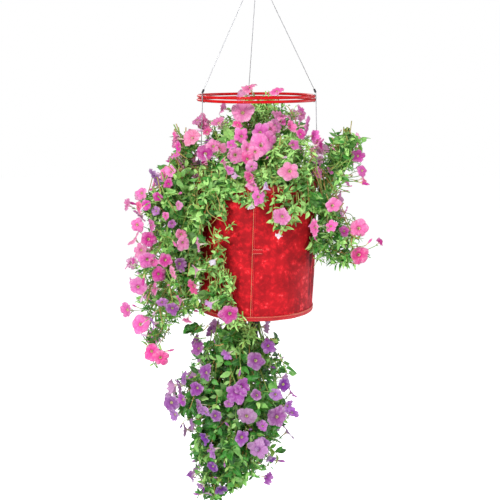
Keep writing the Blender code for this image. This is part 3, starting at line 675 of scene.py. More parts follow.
# ------------------------------------------------------------------ hook
low, high = corners("hanging_hook")
hook_wire = (high[1] - low[1]) / 2
crown_r = high[0] - hook_wire
crown_z = high[2] - hook_wire - crown_r
path = [(-crown_r - 0.0035, 0, crown_z - 0.0120), (-crown_r - 0.0008, 0, crown_z - 0.0065)]
for degrees in range(180, -41, -10):
    angle = math.radians(degrees)
    path.append((crown_r * math.cos(angle), 0, crown_z + crown_r * math.sin(angle)))
path += [(0.0085, 0, crown_z - 0.0185), (0.0030, 0, crown_z - 0.0235),
         (0.0, 0, crown_z - 0.0290), (0.0, 0, low[2])]
line = smooth_path(path, step=0.0012)
radii = np.full(len(line), hook_wire)
radii[:4] = hook_wire * np.array((0.10, 0.62, 0.87, 0.98))      # rounded tip
hook = Sheet()
tube(hook, line, radii, sides=20)
hook.install("hook_wire", STEEL, "hook", "wire_steel", ["hanging_hook"])

# ------------------------------------------------------------------ swivel barrel
low, high = corners("swivel_barrel")
barrel_r, top, bottom = high[0], high[2], low[2]
bore = hook_wire + 0.0003
# (radius, height): bore, shoulder, a groove, the side and the open foot
profile = [
    (bore, top - 0.0040), (bore, top), (0.0040, top), (0.0052, top - 0.0005),
    (0.0061, top - 0.0018), (barrel_r - 0.0001, top - 0.0034), (barrel_r, top - 0.0042),
    (barrel_r, top - 0.0068), (barrel_r - 0.0004, top - 0.0072), (barrel_r - 0.0004, top - 0.0078),
    (barrel_r, top - 0.0082), (barrel_r, bottom + 0.0034), (barrel_r - 0.0002, bottom + 0.0026),
    (0.0058, bottom + 0.0008), (0.0047, bottom), (0.0020, bottom), (0.0020, bottom + 0.0030)]
barrel = Sheet()
lathe(barrel, profile, steps=48)
barrel.install("swivel_body", STEEL, "hook", "wire_steel", ["swivel_barrel"])

# ------------------------------------------------------------------ swivel eye
low, high = corners("swivel_eye")
eye_wire = min((high[1] - low[1]) / 2, 0.0015)
eye_top = high[2]
eye_out = high[0]
eye_z = low[2] + eye_out
eye_r = eye_out - eye_wire
turn = circle(56)
eye = Sheet()
tube(eye, np.stack([eye_r * np.cos(turn), turn * 0, eye_z + eye_r * np.sin(turn)], -1),
     eye_wire, sides=14, closed=True)
# (radius, height): the round head above the eye
lathe(eye, [(0.0001, eye_top), (0.0036, eye_top), (0.0040, eye_top - 0.0004),
            (0.0040, eye_top - 0.0022), (0.0036, eye_top - 0.0028), (0.0016, eye_top - 0.0030),
            (0.0016, eye_z + eye_out - 0.0016), (0.0001, eye_z + eye_out - 0.0016)], steps=28)
eye.install("swivel_eye_wire", STEEL, "swivel", "wire_steel", ["swivel_eye"])

# ------------------------------------------------------------------ gather ring
low, high = corners("gather_ring")
gather_wire = (high[0] - low[0]) / 2
gather_r = (high[1] - low[1]) / 2 - gather_wire
gather_z = (high[2] + low[2]) / 2
gather = Sheet()
tube(gather, np.stack([turn * 0, gather_r * np.cos(turn), gather_z + gather_r * np.sin(turn)], -1),
     gather_wire, sides=14, closed=True)
gather.install("gather_ring_wire", STEEL, "gather_ring", "wire_steel", ["gather_ring"])

# ------------------------------------------------------------------ spreader rings
ring_heights = []
turn = circle(192)
# each hoop is rolled from rod, so it is a hair out of true: swell and its phase
for node, swell, phase in (("spreader_ring_upper", 0.0004, 0.6),
                           ("spreader_ring_lower", -0.0004, 0.2)):
    low, high = corners(node)
    rod = (high[2] - low[2]) / 2
    ring_r, z = high[0] - rod, (high[2] + low[2]) / 2
    ring_wire = rod + 0.0009                         # with its thick dipped coat
    ring_heights.append(z)
    hoop = polar(turn, ring_r + swell * np.cos(2 * turn + phase), z + 0.0003 * np.sin(3 * turn))
    ring = Sheet()
    tube(ring, hoop, ring_wire, sides=16, closed=True)
    ring.install(node + "_rod", LACQUER, "planter", "ring_red", [node])
UPPER, LOWER = ring_heights

# ------------------------------------------------------------------ cables and crimps
GAP = 0.0003
CABLE_R = 0.0008
STRAND = CABLE_R + GAP / 2                           # each strand's offset where two lie together
TOP_LOOP_R, TAB_LOOP_R = 0.0029, 0.0034
wrap_out, wrap_in = ring_r + ring_wire + CABLE_R + GAP, ring_r - ring_wire - CABLE_R - GAP
wrap_top, wrap_bottom = UPPER + ring_wire + CABLE_R + GAP, LOWER - ring_wire - CABLE_R - GAP
WRAP_CUT, WRAP_RISE = 0.0011, 0.0026                 # where a wrap rounds a ring's shoulder
# one turn of cable round both rings: (radius, sideways, height)
WRAP = (
    (wrap_out, 0.0000, UPPER + 0.0012), (wrap_out, 0.0001, LOWER - 0.0008),
    (wrap_out - WRAP_CUT, 0.0003, LOWER - WRAP_RISE), (ring_r, 0.0006, wrap_bottom),
    (wrap_in + WRAP_CUT, 0.0009, LOWER - WRAP_RISE), (wrap_in, 0.0011, LOWER),
    (wrap_in, 0.0014, UPPER), (wrap_in + WRAP_CUT, 0.0016, UPPER + WRAP_RISE),
    (ring_r, 0.0019, wrap_top), (wrap_out - WRAP_CUT, 0.0022, UPPER + WRAP_RISE),
    (wrap_out, 0.0024, UPPER), (wrap_out, 0.0025, LOWER - 0.0030))
# a crimp's outline: (share of its length, share of its radius)
CRIMP = np.array((
    (0.0, 0.80), (0.04, 0.92), (0.10, 0.98), (0.20, 0.96), (0.28, 0.84), (0.36, 0.95),
    (0.46, 0.99), (0.54, 0.99), (0.64, 0.95), (0.72, 0.84), (0.80, 0.96), (0.90, 0.98),
    (0.96, 0.92), (1.0, 0.80)))
crimps = Sheet()


def crimp(start, end, bore, radius):
    """A sleeve squeezed in two places."""
    length = np.linalg.norm(end - start)
    along = (end - start) / length
    side = unit(np.cross(along, (0.3, 1.0, 0.1)))
    profile = [(radius * width, at * length) for at, width in CRIMP]
    profile += [(bore, length), (bore, 0.0)]
    lathe(crimps, profile, steps=20, at=start, axes=np.stack([side, np.cross(along, side), along]))


def cable_path(points):
    """Splits the path, so that the long straight runs stay straight, and rounds its corners."""
    line = []
    for start, end in zip(points, points[1:]):
        span = np.subtract(end, start)
        count = max(1, int(np.linalg.norm(span) / 0.0011))
        line += [np.add(start, span * i / count) for i in range(count)]
    line = np.array(line + [points[-1]])
    for _ in range(2):
        line[1:-1] = line[:-2] * 0.25 + line[1:-1] * 0.5 + line[2:] * 0.25
    return line


def cable_and_crimps(side, loop_y):
    """From the loop at the gather ring, round both rings, to the loop through the eyelet."""
    azimuth = AZIMUTH[side]
    centre = np.array((0, loop_y, gather_z - math.sqrt(gather_r ** 2 - loop_y ** 2)))
    entry = polar(azimuth, wrap_out, wrap_top + 0.0025)
    down = unit(entry - centre)
    across = unit(np.array((1.0, 0, 0)) - down * down[0])
    if entry[0] > 0:
        across = -across
    up = -down
    top, end = centre + down * 0.0085, centre + down * 0.0175
    points = [end - across * STRAND + up * 0.0005, top - across * STRAND]
    for degrees in range(220, -41, -20):
        angle = math.radians(degrees)
        points.append(centre + across * TOP_LOOP_R * math.cos(angle)
                      + up * TOP_LOOP_R * math.sin(angle))
    points += [top + across * STRAND, end + across * STRAND, entry - down * 0.0120, entry]
    points += [polar(azimuth, radius, z, along) for radius, along, z in WRAP]
    crimp_low, crimp_high = corners("rim_crimp_" + side)
    low, high = crimp_low[2], crimp_high[2]
    points += [polar(azimuth, TAB_R - STRAND, high + 0.0030), polar(azimuth, TAB_R - STRAND, low)]
    for degrees in range(180, 361, 20):
        angle = math.radians(degrees)
        points.append(polar(azimuth, TAB_R + TAB_LOOP_R * math.cos(angle),
                            EYELET_Z + 0.0024 + TAB_LOOP_R * math.sin(angle)))
    points += [polar(azimuth, TAB_R + STRAND, low), polar(azimuth, TAB_R + STRAND, high - 0.0005)]
    cable = Sheet()
    tube(cable, cable_path(points), CABLE_R * 0.94, sides=12, twist=TAU / 11, lobes=6, lobe=0.10)
    cable.install("cable_strand_" + side, CABLE, "planter", "wire_steel", ["cable_" + side])
    crimp(end, top, bore=0.0022, radius=0.0028)
    crimp(entry - down * 0.0100, entry - down * 0.0015, bore=0.0010, radius=0.0024)
    crimp(polar(azimuth, TAB_R, low), polar(azimuth, TAB_R, high), bore=0.0020, radius=0.0028)


for side, loop_y in (("left", -0.0032), ("right", 0.0), ("back", 0.0032)):
    cable_and_crimps(side, loop_y)
crimps.install("crimp_sleeves", OXIDE, "planter", "crimp_dark",
               [f"{place}_crimp_{side}" for place in ("top", "ring", "rim") for side in AZIMUTH])

# ------------------------------------------------------------------ stitches
stitches_gold, stitches_red, stitches_pale = Sheet(), Sheet(), Sheet()


def stitch(sheet, centres, along, outward, length=0.0024, thick=0.00030, rise=0.00035):
    """Short raised threads, one at each centre, bedded at both ends."""
    along, outward = (np.broadcast_to(way, centres.shape) for way in (along, outward))
    place = np.linspace(-1, 1, 5)
    lift = (1 - place ** 2) * rise - 0.00008
    paths = (centres[:, None] + along[:, None] * (place[:, None] * length / 2)
             + outward[:, None] * lift[:, None])
    tube(sheet, paths, np.array((0.55, 0.95, 1.0, 0.95, 0.55)) * thick, sides=5)


def ring_of_stitches(sheet, radius, z, count, facing=None, **size):
    turn = circle(count, offset=0.5)
    facing = outward(turn) if facing is None else facing
    stitch(sheet, polar(turn, radius, z), tangent(turn), facing, **size)


# ------------------------------------------------------------------ hanger tabs and eyelets
TAB_WIDTH, TAB_THICK, TAB_HOLE_R = 0.0160, 0.0024, 0.0039
low, high = corners("hanger_tab_left")
TAB_BOTTOM, TAB_TOP = low[2], high[2]
# from the hole to the edge: (share of the way, share of the thickness)
TAB_PUFF = ((0.0, 0.72), (0.12, 0.80), (0.35, 1.0), (0.65, 1.02), (0.88, 0.86), (0.97, 0.60),
            (1.0, 0.30))


def tab_points(azimuth, count=64):
    """A folded tab of tape with a punched hole: rounded outline and soft edge."""
    height = TAB_TOP - TAB_BOTTOM
    middle_z = (TAB_TOP + TAB_BOTTOM) / 2
    hole_z = EYELET_Z - middle_z
    turn = circle(count)
    # the outline is met by rays from the hole's centre
    across, upward = np.cos(turn), np.sin(turn)
    room = np.where(upward > 0, height / 2 - hole_z, height / 2 + hole_z)
    reach = np.minimum((TAB_WIDTH / 2) / np.maximum(abs(across), 1e-6),
                       room / np.maximum(abs(upward), 1e-6))
    to_corner = ((abs(across) * reach - TAB_WIDTH / 2) ** 2
                 + (room - abs(upward) * reach) ** 2)
    reach = reach * np.clip(1 - 0.10 * np.exp(-to_corner / 0.0018 ** 2), 0.86, 1)
    rows = []
    for side, stations in ((1, TAB_PUFF), (-1, TAB_PUFF[::-1])):
        for share, puff in stations:
            radius = TAB_HOLE_R + (reach - TAB_HOLE_R) * share
            rows.append(polar(azimuth, TAB_R + side * puff * TAB_THICK / 2,
                              middle_z + (hole_z + radius * upward), radius * across))
    return np.stack(rows)


# half of an eyelet's section, inside to outside: (radius, height off the tab's face)
EYELET = ((0.0030, 0.0002), (0.0033, 0.0006), (0.0040, 0.0007), (0.0048, 0.0005), (0.0054, 0.0),
          (0.0053, -0.0003), (0.0038, -0.0003))
tab_face = TAB_THICK / 2 + 0.00015
eyelet_section = [(radius, tab_face + rise) for radius, rise in EYELET]
eyelet_section += [(radius, -tab_face - rise) for radius, rise in EYELET[::-1]]
tabs, eyelets = Sheet(), Sheet()
for azimuth in AZIMUTH.values():
    tabs.skin(tab_points(azimuth), around=True, closed=True)
    out, along = outward(azimuth), tangent(azimuth)
    lathe(eyelets, eyelet_section, steps=40, at=polar(azimuth, TAB_R, EYELET_Z),
          axes=np.stack([along, -UP, out]))
    face_r = TAB_R + 0.00125
    edge_z = np.linspace(TAB_BOTTOM + 0.0025, TAB_TOP - 0.0025, 9)
    for edge in (-0.0064, 0.0064):
        stitch(stitches_red, polar(azimuth, face_r, edge_z, edge), UP, out)
    cross = np.linspace(-0.0052, 0.0052, 5)
    for rise in (0.0030, 0.0125):
        stitch(stitches_red, polar(azimuth, face_r, TAB_BOTTOM + rise, cross), along, out)
tabs.install("hanger_tabs", TAPE, "planter", "trim_red", ["hanger_tab_" + s for s in AZIMUTH])
eyelets.install("eyelets", BRASS, "planter", "eyelet_brass", ["eyelet_" + s for s in AZIMUTH])

# ------------------------------------------------------------------ bag wall
rng = np.random.default_rng(11)
# soft swells: waves round the bag, waves a metre up it, two phases, weight
WAVES = [(int(rng.integers(2, 9)), rng.uniform(8, 34), rng.uniform(0, TAU), rng.uniform(0, TAU),
          rng.uniform(0.25, 1.0)) for _ in range(16)]
# single creases: azimuth, width, depth in metres, how far down (0 to 1), lean
CREASES = ((1.12, 0.035, 0.0019, 0.62, 0.10), (1.24, 0.030, 0.0022, 0.70, -0.05),
           (1.35, 0.040, 0.0020, 0.66, 0.06), (-1.75, 0.045, 0.0018, 0.60, 0.12),
           (2.45, 0.050, 0.0020, 0.65, -0.10), (3.00, 0.045, 0.0017, 0.62, 0.08))


def folds(azimuth, z):
    """How far the cloth stands off its turned surface, in metres."""
    depth = np.clip((WALL_TOP - z) / (WALL_TOP - WALL_BOTTOM), 0, 1)
    soft = np.sin(depth * math.pi) ** 0.6
    swell = sum(weight * np.sin(around * azimuth + first) * np.sin(upward * z + second)
                for around, upward, first, second, weight in WAVES) * 0.00022 * soft
    for side in AZIMUTH.values():                       # drag lines under each tab
        off = (azimuth - side + math.pi) % TAU - math.pi
        swell = swell + (0.0011 * np.exp(-(off / 0.10) ** 2) * np.exp(-depth / 0.16)
                         * np.cos(off * 42))
    for at, wide, deep, down, lean in CREASES:
        off = (azimuth - at - lean * (depth - down) + math.pi) % TAU - math.pi
        beside = np.exp(-((off - wide * 1.7) / (wide * 1.1)) ** 2)
        crease = np.exp(-(off / wide) ** 2) - 0.55 * beside
        swell = swell - deep * crease * np.exp(-((depth - down) / 0.30) ** 2)
    low_pucker = (np.exp(-(1 - depth) / 0.035)
                  * np.sin(azimuth * 92 + 1.5 * np.sin(5 * azimuth)) * 0.00035)
    top_pucker = (np.exp(-depth / 0.03)
                  * np.sin(azimuth * 76 + 1.2 * np.sin(7 * azimuth)) * 0.00025)
    return swell + low_pucker + top_pucker


def raised_blossoms(azimuth, z):
    """The raised blossoms, 0 to 1, on the same repeat as the cloth's colour."""
    best = np.zeros(np.broadcast(azimuth, z).shape)
    for shift, drift, size, petals in BLOSSOMS:
        across = azimuth * COLUMNS / TAU + shift + 50.0
        index = np.floor(across)
        level = -z / DROP + (index % 2) * 0.5 + drift
        u, v = across % 1 - 0.5, level % 1 - 0.5
        phase = np.arctan2(v, u) + index * 1.7 + np.floor(level) * 2.3
        rim = size * (0.62 + 0.38 * abs(np.cos(phase * petals / 2)))
        best = np.maximum(best, np.clip((rim - np.hypot(u, v) + 0.02) / 0.07, 0, 1))
    return best


def on_wall(azimuth, z, off=0.0):
    return polar(azimuth, wall_radius(z) + folds(azimuth, z) + off, z)


turn = (circle(400) - math.pi)[None, :]
z = np.linspace(WALL_TOP, WALL_BOTTOM, 124)[:, None]
outer = polar(turn, wall_radius(z) + folds(turn, z) + 0.00022 * raised_blossoms(turn, z), z)
z = np.linspace(WALL_BOTTOM, WALL_TOP, 8)[:, None]
inner = polar(turn, wall_radius(z) - 0.0018 + folds(turn, z) * 0.6, z)
bag = Sheet()
bag.skin(np.concatenate([outer, inner]), around=True, closed=True)
bag.install("bag_wall_cloth", CLOTH, "planter", "bag_red", ["bag_wall"])


# ------------------------------------------------------------------ seam fold and patch
def wall_strip(name, node, off, thick, material, cols=14, rows=90, lean=0.0):
    """A strip of cloth on the wall, with rolled edges. Gives its azimuth, half width, z range."""
    low, high = corners(node)
    bottom, top = low[2], high[2]
    centre, half = azimuth_of(node), (high[0] - low[0]) / 2 / RIM_R
    z = np.linspace(top, bottom, rows)[:, None]
    azimuth = np.linspace(centre - half, centre + half, cols)[None, :]
    azimuth, z = np.broadcast_arrays(azimuth + lean * (z - (top + bottom) / 2), z)
    across = np.linspace(-1, 1, cols)[None, :]
    down = np.linspace(-1, 1, rows)[:, None]
    crown = np.clip((1 - abs(across) ** 6) * (1 - abs(down) ** 40), 0, 1) ** 0.5
    face = on_wall(azimuth, z, off + thick * crown)
    back = on_wall(azimuth[:, ::-1], z[:, ::-1], off - 0.0002)
    sheet = Sheet()
    sheet.skin(np.concatenate([face, back], 1), around=True)
    sheet.install(name, material, "planter", "bag_red", [node])
    return centre, half, bottom, top


SEAM_LEAN = 0.24            # radians a metre: the bag hangs with its seam a little out of plumb
centre, half, bottom, top = wall_strip("seam_fold", "seam_strip", off=0.0003, thick=0.0009,
                                       material=CLOTH, lean=SEAM_LEAN)
seam_z = np.linspace(top - 0.002, bottom + 0.002, 84)
# two lines of stitches: share of the half width, threads, thickness
for share, sheet, thick in ((-0.32, stitches_gold, 0.00042), (0.55, stitches_red, 0.00030)):
    azimuth = centre + half * share + SEAM_LEAN * (seam_z - (top + bottom) / 2)
    stitch(sheet, on_wall(azimuth, seam_z, 0.00125), UP, outward(azimuth), 0.0029, thick)
centre, half, bottom, top = wall_strip("seam_patch_cloth", "seam_patch", off=0.0014,
                                       thick=0.0006, material=PLAIN, cols=24, rows=14)
for share in np.linspace(-0.86, 0.86, 9):
    azimuth = centre + half * share
    for z in (top - 0.0012, bottom + 0.0012):
        stitch(stitches_pale, on_wall(np.array([azimuth]), z, 0.0020), tangent(azimuth),
               outward(azimuth), length=0.0017, thick=0.00026)

# ------------------------------------------------------------------ rim tape and rim wire
turn = circle(260)
# the folded tape, outside, over the top, down the inside and back: (radius, height)
section = np.array([
    (RIM_R - 0.0002, RIM_BOTTOM), (RIM_R + 0.0001, RIM_BOTTOM + 0.0040),
    (RIM_R, RIM_TOP - 0.0050), (RIM_R - 0.0003, RIM_TOP - 0.0020),
    (RIM_R - 0.0013, RIM_TOP - 0.0005), (RIM_R - 0.0031, RIM_TOP + 0.0001),
    (TAPE_INNER + 0.0013, RIM_TOP - 0.0005), (TAPE_INNER + 0.0002, RIM_TOP - 0.0020),
    (TAPE_INNER, RIM_TOP - 0.0060), (TAPE_INNER, RIM_BOTTOM),
    (TAPE_INNER + 0.0010, RIM_BOTTOM), (TAPE_INNER + 0.0011, RIM_TOP - 0.0030),
    (RIM_R - 0.0013, RIM_TOP - 0.0030), (RIM_R - 0.0013, RIM_BOTTOM)])
ripple = 0.00028 * np.sin(turn * 61 + 2 * np.sin(turn * 5)) + 0.00035 * np.sin(turn * 9 + 0.7)
binding = Sheet()
binding.skin(polar(turn[:, None], section[:, 0] + ripple[:, None],
                   section[:, 1] + 0.0002 * np.sin(turn * 23)[:, None]), around=True, closed=True)
binding.install("rim_tape", TAPE, "planter", "trim_red", ["rim_binding"])
low, high = corners("rim_wire")
rim_wire = (high[2] - low[2]) / 2
hoop = Sheet()
tube(hoop, polar(circle(120), high[0] - rim_wire, (high[2] + low[2]) / 2), rim_wire * 0.9,
     sides=8, closed=True)
hoop.install("rim_hoop", STEEL, "planter", "wire_steel", ["rim_wire"])
ring_of_stitches(stitches_red, RIM_R + 0.0004, RIM_BOTTOM + 0.0035, 250)

# ------------------------------------------------------------------ base piping
turn = circle(360)
CORD_R = 0.0032
lay = polar(turn, PIPING_R - CORD_R + 0.0003 + 0.0002 * np.sin(turn * 11),
            BASE_Z + 0.0002 * np.sin(turn * 17))
piping = Sheet()
tube(piping, lay, CORD_R * (1 + 0.03 * np.sin(turn * 90)), sides=12, closed=True)
bottom_r = wall_radius(WALL_BOTTOM)
# the flange over the wall's foot: (radius for a foot of FLANGE_R, height from the foot)
FLANGE_R = 0.1262
flange = np.array([
    (FLANGE_R, WALL_BOTTOM + 0.0042), (0.1281, WALL_BOTTOM + 0.0042),
    (0.1286, WALL_BOTTOM + 0.0010), (0.1282, WALL_BOTTOM - 0.0020),
    (0.1258, WALL_BOTTOM - 0.0024)])
flange[:, 0] += bottom_r - FLANGE_R + 0.0002
follow = folds(turn, WALL_BOTTOM + 0.003) * 0.8
piping.skin(polar(turn[:, None], flange[:, 0] + follow[:, None], flange[:, 1]),
            around=True, closed=True)
piping.install("base_cord", TAPE, "planter", "trim_red", ["base_piping"])
ring_of_stitches(stitches_gold, bottom_r + 0.0024, WALL_BOTTOM + 0.0024, 250,
                 length=0.0028, thick=0.00036, rise=0.0004)

# ------------------------------------------------------------------ base and opening trim
OPENING_R = 0.0300
low, high = corners("bag_base")
radius = np.linspace(OPENING_R, high[0], 26)
turn = circle(180)[:, None]
dish = 0.0016 * np.sin((radius - OPENING_R) / (high[0] - OPENING_R) * math.pi)
crinkle = (0.0005 * np.sin(7 * turn + 40 * radius) * np.sin(60 * radius)
           + 0.0003 * np.sin(17 * turn - 90 * radius))
underside = polar(turn, radius, low[2] - 0.0002 - dish + crinkle)
upper_side = polar(turn, radius[::-1], high[2] - 0.0004)
base = Sheet()
base.skin(np.concatenate([underside, upper_side], 1), around=True, closed=True)
base.install("bag_base_cloth", PLAIN, "planter", "bag_red", ["bag_base"])
trim = Sheet()
# the tape's section: (out from the opening's edge, up from the base)
TRIM = ((-0.0015, 0.0020), (-0.0017, -0.0002), (-0.0010, -0.0014), (0.0005, -0.0017),
        (0.0040, -0.0016), (0.0050, -0.0012), (0.0050, -0.0004), (-0.0003, -0.0004),
        (-0.0003, 0.0020))
lathe(trim, [(OPENING_R + out, BASE_Z + rise) for out, rise in TRIM], steps=120)
trim.install("opening_tape", TAPE, "planter", "trim_red", ["opening_trim"])
ring_of_stitches(stitches_red, OPENING_R + 0.0038, BASE_Z - 0.0017, 64, facing=-UP)

# ------------------------------------------------------------------ collar and root ball
for node, material in (("foam_collar", FOAM), ("lower_root_ball", ROOTS)):
    nodes[node].data.materials.clear()
    nodes[node].data.materials.append(material)
bevel = nodes["foam_collar"].modifiers.new("soft_edge", "BEVEL")
bevel.width = 0.0006
bevel.segments = 2
bevel.limit_method = "ANGLE"
bevel.angle_limit = math.radians(50)

# ------------------------------------------------------------------ potting soil
POCKET_R, POCKET_TOP = 0.0458, -0.7762               # hollow left in the middle of the underside
low, high = corners("potting_soil")
surface_z = high[2] - 0.0025
turn = circle(120)[:, None]
radius = np.concatenate([[0.0008], np.linspace(0.006, high[0] - 0.0006, 44)])
# lumps on the top: waves outwards, waves round, phase
LUMPS = ((1.0, 11, 0.3), (1.7, -17, 1.1), (0.6, 23, 2.0), (2.3, 5, 0.9), (1.2, -31, 2.6))
lumps = sum(np.sin(out * radius * 300 + around * turn + phase) for out, around, phase in LUMPS)
side_z = np.linspace(high[2] - 0.012, low[2], 8)
soil = Sheet()
soil.skin(np.concatenate([
    polar(turn, radius, surface_z + 0.0011 * lumps - 0.004 * (radius / radius.max()) ** 2),
    polar(turn, wall_radius(side_z) - 0.0024, side_z),
    polar(turn, np.array((0.10, 0.06)), low[2] + 0.0003),
    polar(turn, POCKET_R, np.array((low[2], POCKET_TOP))),
    polar(turn, np.array((0.02, 0.0008)), POCKET_TOP)], 1), closed=True)
rng = np.random.default_rng(5)
count = 420                                          # loose crumbs
azimuth, radius = rng.uniform(0, TAU, count), np.sqrt(rng.uniform(0, 1, count)) * 0.124
centres = polar(azimuth, radius, surface_z - 0.004 * (radius / 0.13) ** 2 + 0.001)
size = rng.uniform(0.0012, 0.0036, count)
lean = unit(rng.normal(size=(count, 3)))
along = np.linspace(-0.5, 0.5, 5)[:, None]
tube(soil, centres[:, None] + lean[:, None] * (along * size[:, None, None] * 1.9),
     size[:, None] * np.array((0.25, 0.8, 1.0, 0.85, 0.3)) * rng.uniform(0.8, 1.1, (count, 5)))
soil.install("potting_mix_fill", SOIL, "planter", "soil", ["potting_soil"])

stitches_gold.install("seam_stitches_tan", GOLD_THREAD)
stitches_red.install("seam_stitches_red", RED_THREAD)
stitches_pale.install("patch_stitches", PALE_THREAD)

# ------------------------------------------------------------------ the plants' bodies and room
# each body's CAD node, the place it grows, and the axis its stalks bend back to
OUTSIDE, IN_POT, UNDER = "outside", "in_pot", "under"
PLANTS = {
    "planter": ("crown_foliage", IN_POT, (0.0, 0.0)),
    "left_trail": ("left_trail_foliage", OUTSIDE, (-0.19, -0.02)),
    "right_trail": ("right_trail_foliage", OUTSIDE, (0.18, -0.02)),
    "back_trail": ("back_trail_foliage", OUTSIDE, (0.0, 0.18)),
    "lower_plant": ("lower_foliage", UNDER, (-0.05, 0.0)),
}
PLACE = {body: plant[1] for body, plant in PLANTS.items()}
# the side a trail hangs on: axis and sign
TRAIL_SIDE = {"left_trail": (0, -1.0), "right_trail": (0, 1.0), "back_trail": (1, 1.0)}
green, wood, petals = ({body: Sheet() for body in PLANTS} for _ in range(3))
RIM_CLEAR_INSIDE = TAPE_INNER - 0.0022
BAG_CLEAR = 0.1388
PIVOT_REACH, PIVOT_HEIGHT = 0.1372, -0.560           # a trail swings about the rim
SWAY = 0.112                # the lower plant tips by up to 6 degrees about the middle of the base


def across_and_radial(points, azimuth):
    """Distances sideways from an azimuth and out along it."""
    sine, cosine = math.sin(azimuth), math.cos(azimuth)
    x, y = points[..., 0], points[..., 1]
    return x * cosine + y * sine, x * sine - y * cosine


def off_the_bag(points, place=OUTSIDE):
    """Moves foliage points out of the wall: outwards, or into the opening for those IN_POT."""
    if place == UNDER:
        # each leaf or shoot hangs low enough to tip without touching the base
        reach = np.hypot(points[..., 0], points[..., 1])
        room = np.where(reach < 0.047, COLLAR_BOTTOM, PIPING_BOTTOM) - 0.003 - SWAY * reach
        over = np.maximum(points[..., 2] - room, 0.0).reshape(len(points), -1).max(1)
        points[..., 2] -= over.reshape((-1,) + (1,) * (points.ndim - 2))
        return points
    flat = points.reshape(-1, 3)
    radius = np.hypot(flat[:, 0], flat[:, 1])
    z = flat[:, 2]
    beside = (z < RIM_TOP + 0.004) & (z > BASE_Z - 0.006)
    wall = np.maximum(wall_radius(np.clip(z, WALL_BOTTOM, WALL_TOP)) + 0.0052, 0.1320)
    limit = np.where(z > WALL_TOP - 0.03, BAG_CLEAR, wall)
    push = beside & (radius < limit)
    some_radius = np.maximum(radius, 1e-6)
    scale = np.where(push, limit / some_radius, 1.0)
    if place == IN_POT:
        held = push & (radius < RIM_R - 0.004)
        scale = np.where(held, np.minimum(radius, RIM_CLEAR_INSIDE) / some_radius, scale)
    flat[:, 0] *= scale
    flat[:, 1] *= scale
    if place == OUTSIDE:
        # what leans in over the rim keeps above it, also when its trail is swung out
        radius = np.hypot(flat[:, 0], flat[:, 1])
        over_rim = (radius < BAG_CLEAR + 0.002) & (flat[:, 2] > RIM_TOP - 0.001)
        floor = RIM_TOP + 0.007 + 0.15 * (BAG_CLEAR + 0.002 - radius)
        flat[:, 2] = np.where(over_rim, np.maximum(flat[:, 2], floor), flat[:, 2])
    for azimuth in AZIMUTH.values():                  # a way is left free for each cable and tab
        across, radial = across_and_radial(flat, azimuth)
        close = ((radial > 0.117) & (radial < 0.162) & (abs(across) < 0.0115)
                 & (flat[:, 2] > RIM_TOP - 0.030))
        shift = np.where(close, np.where(across < 0, -0.0115, 0.0115) - across, 0.0)
        flat[:, 0] += shift * math.cos(azimuth)
        flat[:, 1] += shift * math.sin(azimuth)
    return flat.reshape(points.shape)


def swings_clear(points, body, petals_too=False):
    """True for each leaf or stem that keeps off the cables, tabs and rim as its trail swings."""
    free = np.ones(len(points), bool)
    if body not in TRAIL_SIDE:
        return free
    axis, sign = TRAIL_SIDE[body]
    flat = points.reshape(len(points), -1, 3)
    for turn in (0.0, math.radians(4.0), math.radians(8.0)):
        moved = flat.copy()
        off, up = sign * flat[..., axis] - PIVOT_REACH, flat[..., 2] - PIVOT_HEIGHT
        sine, cosine = math.sin(turn), math.cos(turn)
        moved[..., axis] = sign * (PIVOT_REACH + off * cosine - up * sine)
        moved[..., 2] = PIVOT_HEIGHT + off * sine + up * cosine
        for azimuth in AZIMUTH.values():
            across, radial = across_and_radial(moved, azimuth)
            hit = ((radial > 0.120) & (radial < 0.154) & (abs(across) < 0.0108)
                   & (moved[..., 2] > RIM_TOP - 0.029))
            free &= ~hit.any(1)
        if turn:
            # and off the binding round the rim
            radius = np.hypot(moved[..., 0], moved[..., 1])
            free &= ~((radius > 0.1275) & (radius < 0.1390)
                      & (abs(moved[..., 2] - RIM_TOP + 0.009) < 0.0125)).any(1)
        if turn and petals_too:
            centres = moved.mean(1)
            for bloom, _, size, _, _ in zip(*GROWN["planter"]):
                close = free & (np.linalg.norm(centres - bloom, axis=1) < size + 0.03)
                if close.any():
                    gap = np.linalg.norm(moved[close] - bloom, axis=2)
                    free[close] &= ~(gap < size * 0.95).any(1)
    return free


FRONT = unit(np.array((0.0, -1.0, 0.18)))


def open_to_blooms(points, room):
    """True where a leaf at points would not hide the face of a bloom."""
    free = np.ones(len(points), bool)
    for bloom in SHOWN:
        facing, size = bloom[3:6], bloom[6]
        away = points - bloom[:3]
        near = np.abs(away).max(1) < 0.16
        if not near.any():
            continue
        away = away[near]
        hidden = np.zeros(len(away), bool)
        view = FRONT if bloom[4] < 0.35 else unit(facing * (1, 1, 0))
        for way, far in ((facing, 0.05), (view, 0.14)):
            ahead = away @ way
            beside = np.linalg.norm(away - ahead[:, None] * way, axis=1)
            hidden |= (ahead > 0.001) & (ahead < far) & (beside < size * 0.80 + room[near] * 0.30)
        hidden |= np.linalg.norm(away, axis=1) < size * 0.6
        free[near] &= ~hidden
    return free


# ------------------------------------------------------------------ leaves and shoots
# a leaf's outline: (share of the length, share of the width, change where the tip is blunt)
BLADE = np.array(((0.0, 0.055, 0.0), (0.10, 0.16, 0.0), (0.24, 0.80, -0.16), (0.42, 1.0, 0.0),
                  (0.62, 0.80, 0.12), (0.82, 0.42, 0.25), (1.0, 0.03, 0.0)))


